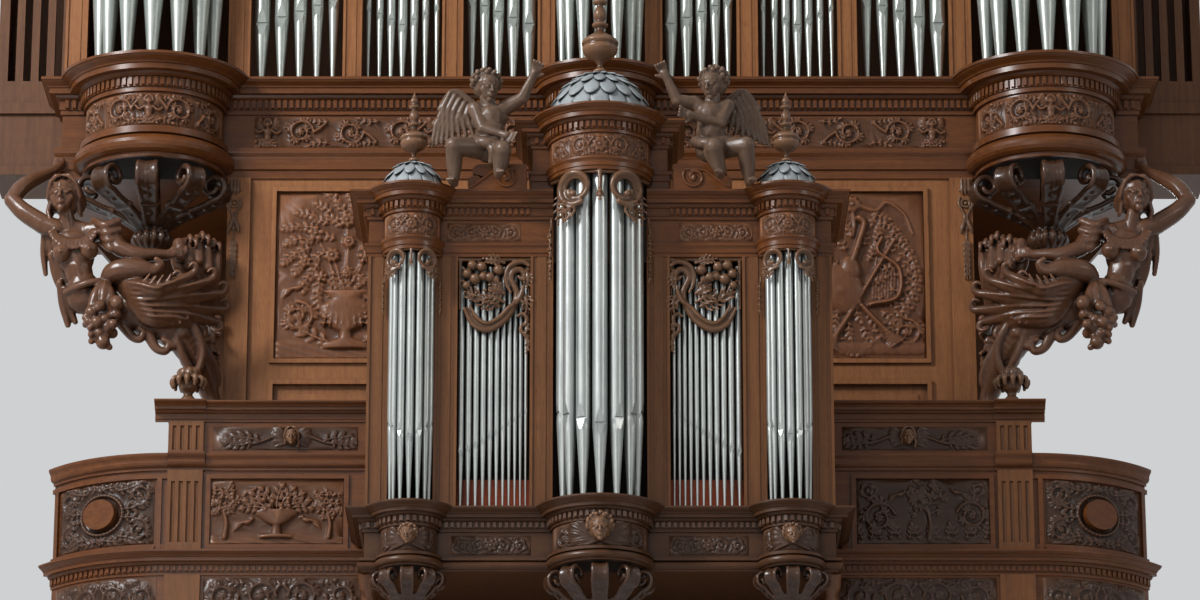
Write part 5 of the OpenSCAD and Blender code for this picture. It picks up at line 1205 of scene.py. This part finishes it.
dark_soffit("front_drum_soffit_middle", 0.0, case_front, 1.060, 0.40)
for side, way in halves:
    dark_soffit("great_drum_soffit_" + side, way * great_drum, great_front, 5.780, 0.64)
    dark_soffit("front_drum_soffit_" + side, way * side_drum, case_front, 1.060, 0.245)
    hanging_bracket("great_culot_" + side, (way * great_drum, great_front, 5.775), 0.66, 0.62, 0.150, 156.0,
                    0.0115, ("great_culots",) if side == "left" else ())
    hanging_bracket("front_culot_" + side, (way * side_drum, case_front, 1.055), 0.285, 0.45, 0.084, 150.0,
                    0.0078)
hanging_bracket("front_culot_middle", (0.0, case_front, 1.055), 0.425, 0.56, 0.108, 150.0,
                0.0090, ("front_culots",))


# Pipe shades: pierced scrolls that hide the tops of the pipes, carved from boards bent round the
# towers and set flat in the bays, with fruit, leaves and a gouged channel along each scroll.
def tower_shade(name, x, y, z, radius, eye_r, apart, tail, voxel, stands_for=()):
    figure = Carving()

    def on(u, v, lift=0.0):
        a = u / radius
        return Vector((x + (radius + lift) * math.sin(a), y - (radius + lift) * math.cos(a), z + v))

    for way in (-1.0, 1.0):
        c = way * apart
        for ring_r, thick, lift in ((1.0, 0.21, 0.02), (0.76, 0.13, 0.0)):
            path = []
            for k in range(27):
                t = k / 26
                a = math.radians(-118.0 + 470.0 * t)
                r = eye_r * ring_r * (1.0 - 0.52 * max(0.0, t - 0.45) / 0.55)
                path.append(on(c + way * r * math.cos(a), r * math.sin(a), lift * (1.0 - t)))
            swell = [0.75 + 0.45 * math.sin(math.pi * min(1.0, k / 16)) for k in range(27)]
            figure.along(path, [eye_r * thick * part for part in swell], 52)
        figure.ball(on(c + way * eye_r * 0.10, -eye_r * 0.30, 0.01), eye_r * 0.22)
        start = on(c - way * eye_r * 0.30, -eye_r * 0.95, 0.02)
        face = start - Vector((x, y, start.z))
        inner = [start, on(c + way * eye_r * 0.35, -eye_r * 1.30, 0.035),
                 on(c + way * eye_r * 1.0, -eye_r * 1.62, 0.02)]
        outer = [on(c + way * eye_r * du, eye_r * dv) for du, dv in ((1.0, 0.1), (1.30, -0.75), (1.34, -1.9))]
        figure.acanthus(inner, eye_r * 1.15, eye_r * 0.11, face, 4, 1.0)
        figure.acanthus(outer, eye_r * 0.70, eye_r * 0.09, face, 4, 0.8)
        edge = radius * math.radians(80.0)
        for k in range(tail):
            t = k / tail
            v = -eye_r * (1.7 + 3.3 * t)
            husk = [on(way * edge, v), on(way * (edge - eye_r * 0.10), v - eye_r * 0.40, 0.015),
                    on(way * (edge - eye_r * 0.02), v - eye_r * 0.80)]
            figure.acanthus(husk, eye_r * (0.62 - 0.2 * t), eye_r * 0.085,
                            on(way * edge, 0.0) - Vector((x, y, z)), 2, 1.0)
        figure.limb(on(way * edge, -eye_r * 1.2), eye_r * 0.07, on(way * edge, -eye_r * 5.2), eye_r * 0.05)
    figure.limb(on(0.0, eye_r * 1.05, 0.0), eye_r * 0.16, on(0.0, -eye_r * 0.2, 0.02), eye_r * 0.12)
    for k in range(3):
        figure.ball(on(0.0, -eye_r * (0.30 + 0.26 * k), 0.03), eye_r * (0.17 - 0.03 * k))
    for way in (-1.0, 1.0):
        tail_end, crown = on(way * eye_r * 0.22, -eye_r * 0.62, 0.02), on(way * apart, eye_r * 1.05)
        figure.limb(on(0.0, -eye_r * 0.1, 0.02), eye_r * 0.09, tail_end, eye_r * 0.06)
        figure.limb(on(0.0, eye_r * 1.0), eye_r * 0.12, crown, eye_r * 0.12)
        figure.limb(crown, eye_r * 0.12, on(way * radius * 1.35, eye_r * 1.0), eye_r * 0.12)
    figure.skin(name, voxel, 1, oak_carved, stands_for)


tower_shade("tower_shade_middle", 0.0, case_front, 4.495, 0.445, 0.150, 0.235, 4, 0.0075,
            ("front_tower_shades",))
for side, way in halves:
    tower_shade("tower_shade_" + side, way * side_drum, case_front, 3.885, 0.252, 0.088, 0.140, 5, 0.0062)


def bay_shade(name, mirrored, stands_for=()):
    figure = Carving()
    y = -0.985
    horn = [(0.730, 3.800), (0.695, 3.775), (0.680, 3.820), (0.715, 3.865), (0.775, 3.850), (0.800, 3.785),
            (0.770, 3.715), (0.745, 3.640), (0.775, 3.510), (0.870, 3.375), (1.010, 3.300), (1.140, 3.355),
            (1.215, 3.500)]
    thick = [0.014, 0.020, 0.026, 0.030, 0.032, 0.032, 0.030, 0.030, 0.030, 0.030, 0.028, 0.024, 0.014]
    figure.along([(px, y, pz) for px, pz in horn], thick, 78)
    inner = [(0.690, 3.700), (0.700, 3.640), (0.740, 3.560), (0.815, 3.500), (0.905, 3.405), (1.010, 3.355),
             (1.100, 3.405), (1.165, 3.520)]
    figure.along([(px, y - 0.022, pz) for px, pz in inner],
                 [0.016, 0.022, 0.024, 0.024, 0.022, 0.020, 0.018, 0.012], 48)
    web = [(0.780, 3.530), (0.885, 3.390), (1.010, 3.328), (1.120, 3.380), (1.190, 3.510)]
    figure.along([(px, y + 0.010, pz) for px, pz in web], [0.026, 0.030, 0.030, 0.028, 0.012], 30)
    crest = [(0.640, 3.905), (0.690, 3.935), (0.760, 3.925), (0.820, 3.880), (0.845, 3.800), (0.835, 3.720),
             (0.800, 3.650)]
    figure.along([(px, y - 0.012, pz) for px, pz in crest], [0.020, 0.024, 0.026, 0.024, 0.022, 0.018, 0.012],
                 36)
    for px, pz, r in ((0.910, 3.860, 0.050), (0.985, 3.790, 0.046), (1.060, 3.890, 0.048),
                      (1.145, 3.905, 0.046), (1.120, 3.775, 0.052), (1.190, 3.825, 0.044),
                      (1.195, 3.715, 0.040), (1.045, 3.800, 0.040), (0.930, 3.765, 0.036)):
        figure.ball((px, y - 0.010, pz), r)
        figure.limb((px, y + 0.01, pz), 0.02, (px + 0.03, y + 0.01, pz + 0.05), 0.014)
    for a, b, c, width in (((0.860, 3.560), (0.940, 3.600), (1.020, 3.650), 0.15),
                           ((0.900, 3.520), (1.010, 3.545), (1.110, 3.600), 0.14),
                           ((0.860, 3.640), (0.920, 3.680), (0.980, 3.705), 0.12),
                           ((1.060, 3.570), (1.130, 3.620), (1.200, 3.640), 0.12),
                           ((0.860, 3.930), (0.950, 3.950), (1.040, 3.960), 0.09),
                           ((0.690, 3.640), (0.655, 3.560), (0.660, 3.470), 0.10),
                           ((0.660, 3.860), (0.645, 3.780), (0.655, 3.700), 0.08)):
        rib = [(a[0], y, a[1]), (b[0], y - 0.025, b[1]), (c[0], y - 0.012, c[1])]
        figure.acanthus(rib, width, 0.014, (0.0, -1.0, 0.1), 4, 1.0)
    tailpiece = [(0.735, 3.430), (0.690, 3.450), (0.655, 3.410), (0.665, 3.350), (0.700, 3.340),
                 (0.705, 3.290), (0.665, 3.250), (0.640, 3.180), (0.650, 3.120)]
    figure.along([(px, y, pz) for px, pz in tailpiece],
                 [0.012, 0.018, 0.022, 0.022, 0.018, 0.020, 0.022, 0.016, 0.008], 45)
    for pz in (3.33, 3.22, 3.14):
        rib = [(0.655, y, pz + 0.05), (0.640, y - 0.01, pz), (0.660, y - 0.01, pz - 0.06)]
        figure.acanthus(rib, 0.06, 0.009, (0.2, -1.0, 0.0), 2, 1.0)
    figure.limb((0.630, y + 0.01, 3.965), 0.022, (1.270, y + 0.01, 3.965), 0.022)
    figure.limb((1.255, y + 0.01, 3.965), 0.018, (1.255, y + 0.01, 3.50), 0.010)
    figure.limb((0.640, y + 0.01, 3.965), 0.018, (0.640, y + 0.01, 3.10), 0.010)
    figure.skin(name, 0.0062, 1, oak_carved, stands_for, mirrored)


bay_shade("bay_shade_right", False, ("front_flat_shades",))
bay_shade("bay_shade_left", True)


# Domes and finials: grey-blue painted lead scales laid from the bottom up in overlapping rows,
# topped by finials turned from one piece of oak with a flattened ball, and waxed.
blue_lead = Finish("blue_grey_scales")
mark = blue_lead.noise(blue_lead.place, 26.0, 4.0, 0.6)
cloud = blue_lead.noise(blue_lead.place, 5.0, 2.0, 0.5)
# Painted shade: the colour goes nearly black where the scales overlap and shade each other.
hollow = blue_lead.node("ShaderNodeAmbientOcclusion", {"samples": 6}, {"Distance": 0.035}, "AO")
tint = blue_lead.ramp(mark * 0.5 + cloud * 0.5, [(0.3, (0.231, 0.254, 0.262)), (0.7, (0.385, 0.408, 0.415))])
between = blue_lead.ramp(hollow, [(0.35, (0.03, 0.035, 0.04)), (0.80, (1.0, 1.0, 1.0))])
blue_lead.wear("Base Color", blue_lead.blend(0.95, tint, between, "MULTIPLY"))
blue_lead.wear("Roughness", 0.45 + 0.2 * (mark - 0.5))
blue_lead.wear("Normal", blue_lead.bump(mark, 0.3, 0.002))
# Painted shade: the dome body under the scales is near black, so the gaps between the scales read as shadow.
dark_lead = Finish("dome_ground")
grain = dark_lead.noise(dark_lead.place, 30.0, 3.0, 0.5)
tint = dark_lead.ramp(grain, [(0.3, (0.035, 0.038, 0.042)), (0.7, (0.069, 0.077, 0.081))])
dark_lead.wear("Base Color", tint)
dark_lead.wear("Roughness", 0.55 + 0.2 * (grain - 0.5))
cover(dark_lead.material, "front_domes", "great_domes")

tile = bmesh.new()
bmesh.ops.create_icosphere(tile, subdivisions=2, radius=1.0)
bmesh.ops.bisect_plane(tile, geom=tile.verts[:] + tile.edges[:] + tile.faces[:], plane_co=(0, 0, 0),
                       plane_no=(0, 1, 0), clear_outer=True)
bmesh.ops.remove_doubles(tile, verts=tile.verts, dist=0.001)
bmesh.ops.holes_fill(tile, edges=[e for e in tile.edges if e.is_boundary])
bmesh.ops.dissolve_degenerate(tile, edges=tile.edges, dist=0.001)
bmesh.ops.triangulate(tile, faces=tile.faces[:])
tile_corners = np.array([tuple(v.co) for v in tile.verts]) * (1.0, -1.0, 1.0)
tile_faces = np.array([[v.index for v in f.verts] for f in tile.faces])
tile.free()


def scaled_dome(name, x, y, z, r, h, rows, around):
    lumps = []
    for row in range(rows):
        a = math.radians(5.0 + 73.0 * row / rows)
        reach, level = r * math.cos(a) ** 1.15, h * 0.96 * math.sin(a)
        ahead = math.radians(5.0 + 73.0 * (row + 1) / rows)
        step_r, step_z = r * math.cos(ahead) ** 1.15 - reach, h * 0.96 * math.sin(ahead) - level
        length = math.hypot(step_r, step_z)
        up = Vector((step_r, 0.0, step_z)) / length
        for n in range(around):
            turn = 2 * math.pi * (n + 0.5 * (row % 2)) / around
            spin = Matrix.Rotation(turn, 3, "Z")
            along = spin @ up
            side = spin @ Vector((0.0, 1.0, 0.0))
            face = side.cross(along).normalized()
            if face.dot(spin @ Vector((1.0, 0.0, 0.3))) < 0:
                face = -face
            wide = math.pi * (reach + step_r * 0.4) / around * 1.10
            long = length * 0.92
            tilted = (along - face * 0.13).normalized()
            proud = tilted.cross(side).normalized()
            if proud.dot(face) < 0:
                proud = -proud
            at = spin @ Vector((reach + step_r * 0.42, 0.0, level + step_z * 0.42))
            frame_of = np.array([side * wide, proud * r * 0.045, tilted * long])
            lumps.append(np.array(at + Vector((x, y, z))) + tile_corners @ frame_of)
    mesh = bpy.data.meshes.new(name)
    count = len(tile_corners)
    faces = np.concatenate([tile_faces + count * i for i in range(len(lumps))])
    mesh.from_pydata(np.concatenate(lumps), [], faces)
    settle(name, mesh, blue_lead.material)


scaled_dome("middle_dome_scales", 0.0, case_front, 5.250, 0.442, 0.500, 4, 16)
for side, way in halves:
    scaled_dome("side_dome_scales_" + side, way * side_drum, case_front, 4.570, 0.266, 0.330, 3, 13)
    scaled_dome("great_dome_scales_" + side, way * great_drum, great_front, 13.140, 0.697, 0.760, 5, 18)
scaled_dome("great_middle_dome_scales", 0.0, great_front, 11.640, 0.489, 0.570, 4, 15)

turned = [(0.000, 0.000), (0.046, 0.000), (0.046, 0.018), (0.024, 0.034), (0.018, 0.060), (0.028, 0.075),
          (0.040, 0.092), (0.090, 0.118), (0.118, 0.150), (0.126, 0.178), (0.120, 0.196), (0.112, 0.200),
          (0.128, 0.212), (0.130, 0.226), (0.116, 0.246), (0.080, 0.272), (0.042, 0.296), (0.028, 0.320),
          (0.030, 0.340), (0.056, 0.352), (0.056, 0.364), (0.028, 0.376), (0.036, 0.396), (0.046, 0.428),
          (0.042, 0.462), (0.024, 0.496), (0.022, 0.512), (0.050, 0.524), (0.050, 0.536), (0.024, 0.548),
          (0.034, 0.572), (0.036, 0.596), (0.022, 0.622), (0.008, 0.660), (0.000, 0.690)]


def turned_finial(name, x, y, z, size, stands_for=()):
    shape = bmesh.new()
    row = [shape.verts.new((r * size, 0.0, up * size)) for r, up in turned]
    edges = [shape.edges.new(pair) for pair in zip(row[:-1], row[1:])]
    bmesh.ops.spin(shape, geom=row + edges, cent=(0, 0, 0), axis=(0, 0, 1), angle=2 * math.pi, steps=28,
                   use_merge=True)
    bmesh.ops.translate(shape, verts=shape.verts, vec=(x, y, z))
    mesh = bpy.data.meshes.new(name)
    shape.to_mesh(mesh)
    shape.free()
    settle(name, mesh, oak_carved, stands_for)


turned_finial("middle_finial", 0.0, case_front, 5.744, 1.30, ("front_finials",))
for side, way in halves:
    turned_finial("side_finial_" + side, way * side_drum, case_front, 4.892, 0.98)


# Dentils: small sawn blocks glued under each cornice at an even pitch, straight along the runs and
# fanned round the drums, with shadow between them.
class Dentils:
    block = bmesh.new()
    bmesh.ops.create_cube(block, size=1.0)
    bmesh.ops.bevel(block, geom=block.edges[:], offset=0.06, offset_type="OFFSET", segments=1, profile=0.5,
                    affect="EDGES", material=-1)
    corners = np.array([tuple(v.co) for v in block.verts])
    sides = [[v.index for v in f.verts] for f in block.faces]
    block.free()

    def __init__(self, low, high, near, far, pitch):
        self.low, self.high, self.near, self.far, self.pitch = low, high, near, far, pitch
        self.lumps = []

    def put(self, x, y, nx, ny):
        # One block on a wall point, facing along its outward direction.
        wide, deep = self.pitch * 0.62, self.far - self.near
        mid = (self.near + self.far) / 2
        tall = self.high - self.low
        frame_of = np.array([[ny * wide, -nx * wide, 0.0], [nx * deep, ny * deep, 0.0], [0.0, 0.0, tall]])
        centre = np.array([x + nx * mid, y + ny * mid, (self.low + self.high) / 2])
        self.lumps.append(centre + self.corners @ frame_of)

    def run(self, x0, y0, x1, y1):
        # A straight run on the right half, which faces to the right of its way, and its twin on the left.
        length = math.hypot(x1 - x0, y1 - y0)
        nx, ny = (y1 - y0) / length, -(x1 - x0) / length
        count = int(length / self.pitch)
        for n in range(count):
            t = (n + 0.5) / count
            for way in (-1.0, 1.0):
                self.put(way * (x0 + (x1 - x0) * t), y0 + (y1 - y0) * t, way * nx, ny)

    def bow(self, x, y, r, a0=-86.0, a1=86.0):
        # A run round a drum, in degrees from straight ahead; a drum off the middle has a twin.
        count = int(math.radians(a1 - a0) * (r + self.near) / self.pitch)
        for n in range(count):
            a = math.radians(a0 + (a1 - a0) * (n + 0.5) / count)
            for way in (-1.0, 1.0) if x else (1.0,):
                self.put(way * (x + r * math.sin(a)), y - r * math.cos(a), way * math.sin(a), -math.cos(a))

    def fix(self, name, finish):
        count = len(self.corners)
        faces = [[c + count * i for c in side] for i in range(len(self.lumps)) for side in self.sides]
        mesh = bpy.data.meshes.new(name)
        mesh.from_pydata(np.concatenate(self.lumps), [], faces)
        settle(name, mesh, finish, (), False)


def zone(base, height):
    # The dentil band within a cornice, from its underside and height.
    return base + height * 0.17, base + height * 0.415


base_row = Dentils(*zone(1.420, 0.200), 0.024, 0.048, 0.052)
base_row.run(0.425, case_front, 1.435, case_front)
base_row.run(1.94, case_front, 2.08, case_front)
base_row.run(2.08, -0.99, 2.08, 0.14)
base_row.bow(0.0, case_front, 0.425)
base_row.bow(side_drum, case_front, 0.25)
base_row.fix("base_dentils", oak_dark)
head_row = Dentils(*zone(4.330, 0.240), 0.025, 0.050, 0.052)
head_row.run(0.62, case_front, 1.43, case_front)
head_row.run(1.945, case_front, 2.08, case_front)
head_row.run(2.08, -0.99, 2.08, 0.14)
head_row.bow(side_drum, case_front, 0.256)
head_row.fix("head_dentils", oak_rail)
crown_row = Dentils(*zone(5.010, 0.240), 0.025, 0.050, 0.052)
crown_row.run(0.46, case_front, 0.61, case_front)
crown_row.run(0.61, -0.99, 0.61, -0.30)
crown_row.bow(0.0, case_front, 0.455)
crown_row.fix("middle_head_dentils", oak_rail)
great_row = Dentils(*zone(6.440, 0.330), 0.030, 0.062, 0.060)
great_row.run(0.48, great_front, 3.64, great_front)
great_row.run(5.01, great_front, 5.22, great_front)
great_row.bow(0.0, great_front, 0.47)
great_row.bow(great_drum, great_front, 0.67)
great_row.fix("great_dentils", oak_rail)
gallery_row = Dentils(*zone(1.290, 0.210), 0.018, 0.040, 0.055)
gallery_row.run(0.0, 0.0, end_x, 0.0)
gallery_row.bow(end_x, end_r, end_r, 0.0, 52.0)
gallery_row.fix("gallery_dentils", oak_rail)


# Small carved work: leafy urns on the ends of the upper screen, husk drops on the corner posts of
# the great case, and scrolls on the brackets of the seated children, all pinned and glued on.
for side, way in halves:
    urn = Carving()
    foot = Vector((way * 3.76, 0.05, 2.900))
    for low, r0, high, r1 in ((0.012, 0.088, 0.030, 0.080), (0.040, 0.060, 0.070, 0.034),
                              (0.075, 0.036, 0.095, 0.034), (0.105, 0.044, 0.112, 0.044),
                              (0.13, 0.050, 0.20, 0.092), (0.20, 0.095, 0.235, 0.112)):
        urn.limb(foot + straight_up(low), r0 * 0.98, foot + straight_up(high + 0.001), r1 * 0.98)
    flat_foot = foot.z - 0.0005
    urn.lumps = [np.column_stack([lump[:, :2], np.maximum(lump[:, 2], flat_foot)]) for lump in urn.lumps]
    for k in range(12):
        a = math.radians(30.0 * k)
        rim = Vector((math.cos(a), math.sin(a), 0.0))
        bent = ((0.095, 0.235), (0.125, 0.250), (0.148, 0.225), (0.140, 0.175))
        urn.along([foot + rim * away + straight_up(rise) for away, rise in bent],
                  [0.028, 0.030, 0.028, 0.016], 8)
    for k in range(9):
        a = math.radians(40.0 * k)
        rim = Vector((math.cos(a), math.sin(a), 0.0))
        bent = ((0.070, 0.25), (0.075, 0.31), (0.02, 0.355))
        urn.along([foot + rim * away + straight_up(rise) for away, rise in bent], [0.034, 0.036, 0.020], 8)
    urn.ball(foot + straight_up(0.28), 0.075)
    urn.skin("screen_urn_" + side, 0.0075, 1, oak_carved,
             ("screen_urns",) if side == "left" else ())
    drop = Carving()
    x, y = way * 3.535, 1.950
    for k in (-1.0, 0.0, 1.0):
        drop.limb((x + k * 0.034, y - 0.004, 5.755), 0.019, (x + k * 0.034, y - 0.010, 5.655), 0.022)
        drop.limb((x + k * 0.034, y - 0.012, 5.650), 0.020, (x + k * 0.034, y - 0.012, 5.610), 0.010)
    drop.limb((x - 0.058, y - 0.004, 5.645), 0.013, (x + 0.058, y - 0.004, 5.645), 0.013)
    for k in range(12):
        a = math.radians(30.0 * k)
        drop.ball((x + 0.040 * math.cos(a), y - 0.004, 5.515 + 0.040 * math.sin(a)), 0.014)
    drop.ball((x, y - 0.006, 5.515), 0.018)
    for k in (-1.0, 1.0):
        ribbon = ((0.055, 0.002, 5.580), (0.066, 0.004, 5.500), (0.030, 0.006, 5.430),
                  (0.012, 0.008, 5.360), (0.038, 0.012, 5.270), (0.052, 0.010, 5.215))
        drop.along([(x + k * dx, y - dy, z) for dx, dy, z in ribbon],
                   [0.010, 0.015, 0.014, 0.018, 0.024, 0.012], 22)
        ribbon = ((0.0, 0.004, 5.40), (0.016, 0.010, 5.32), (0.020, 0.006, 5.25))
        drop.along([(x + k * dx, y - dy, z) for dx, dy, z in ribbon], [0.010, 0.014, 0.008], 9)
    drop.limb((x, y - 0.004, 5.34), 0.010, (x, y - 0.004, 4.78), 0.008)
    for k in range(7):
        z = 5.130 - 0.055 * k
        for turn in (-1.0, 0.0, 1.0):
            husk = ((0.008, 0.008, 0.0), (0.026, 0.014, 0.030), (0.022, 0.010, 0.060))
            drop.along([(x + turn * dx, y - dy, z - dz) for dx, dy, dz in husk],
                       [0.012, 0.015 - 0.001 * k, 0.007], 6)
    drop.skin("corner_drop_" + side, 0.0062, 1, oak_carved)
    scroll = Carving()
    eye_x, eye_z = 0.850, 4.685
    path = []
    for k in range(25):
        a = math.radians(-80.0 + 470.0 * k / 24)
        r = 0.105 * (0.24 + 0.76 * k / 24)
        path.append((way * (eye_x - r * math.cos(a)), -1.164, eye_z + r * math.sin(a)))
    scroll.along(path, [0.016] * 25, 48)
    scroll.ball((way * eye_x, -1.164, eye_z), 0.026)
    ridge = ((0.78, 4.765), (0.93, 4.755), (1.04, 4.680), (1.13, 4.610), (1.17, 4.595))
    scroll.along([(way * px, -1.162, pz) for px, pz in ridge], [0.014, 0.016, 0.016, 0.016, 0.014], 24)
    scroll.skin("bracket_scroll_" + side, 0.0070, 1, oak_rail)
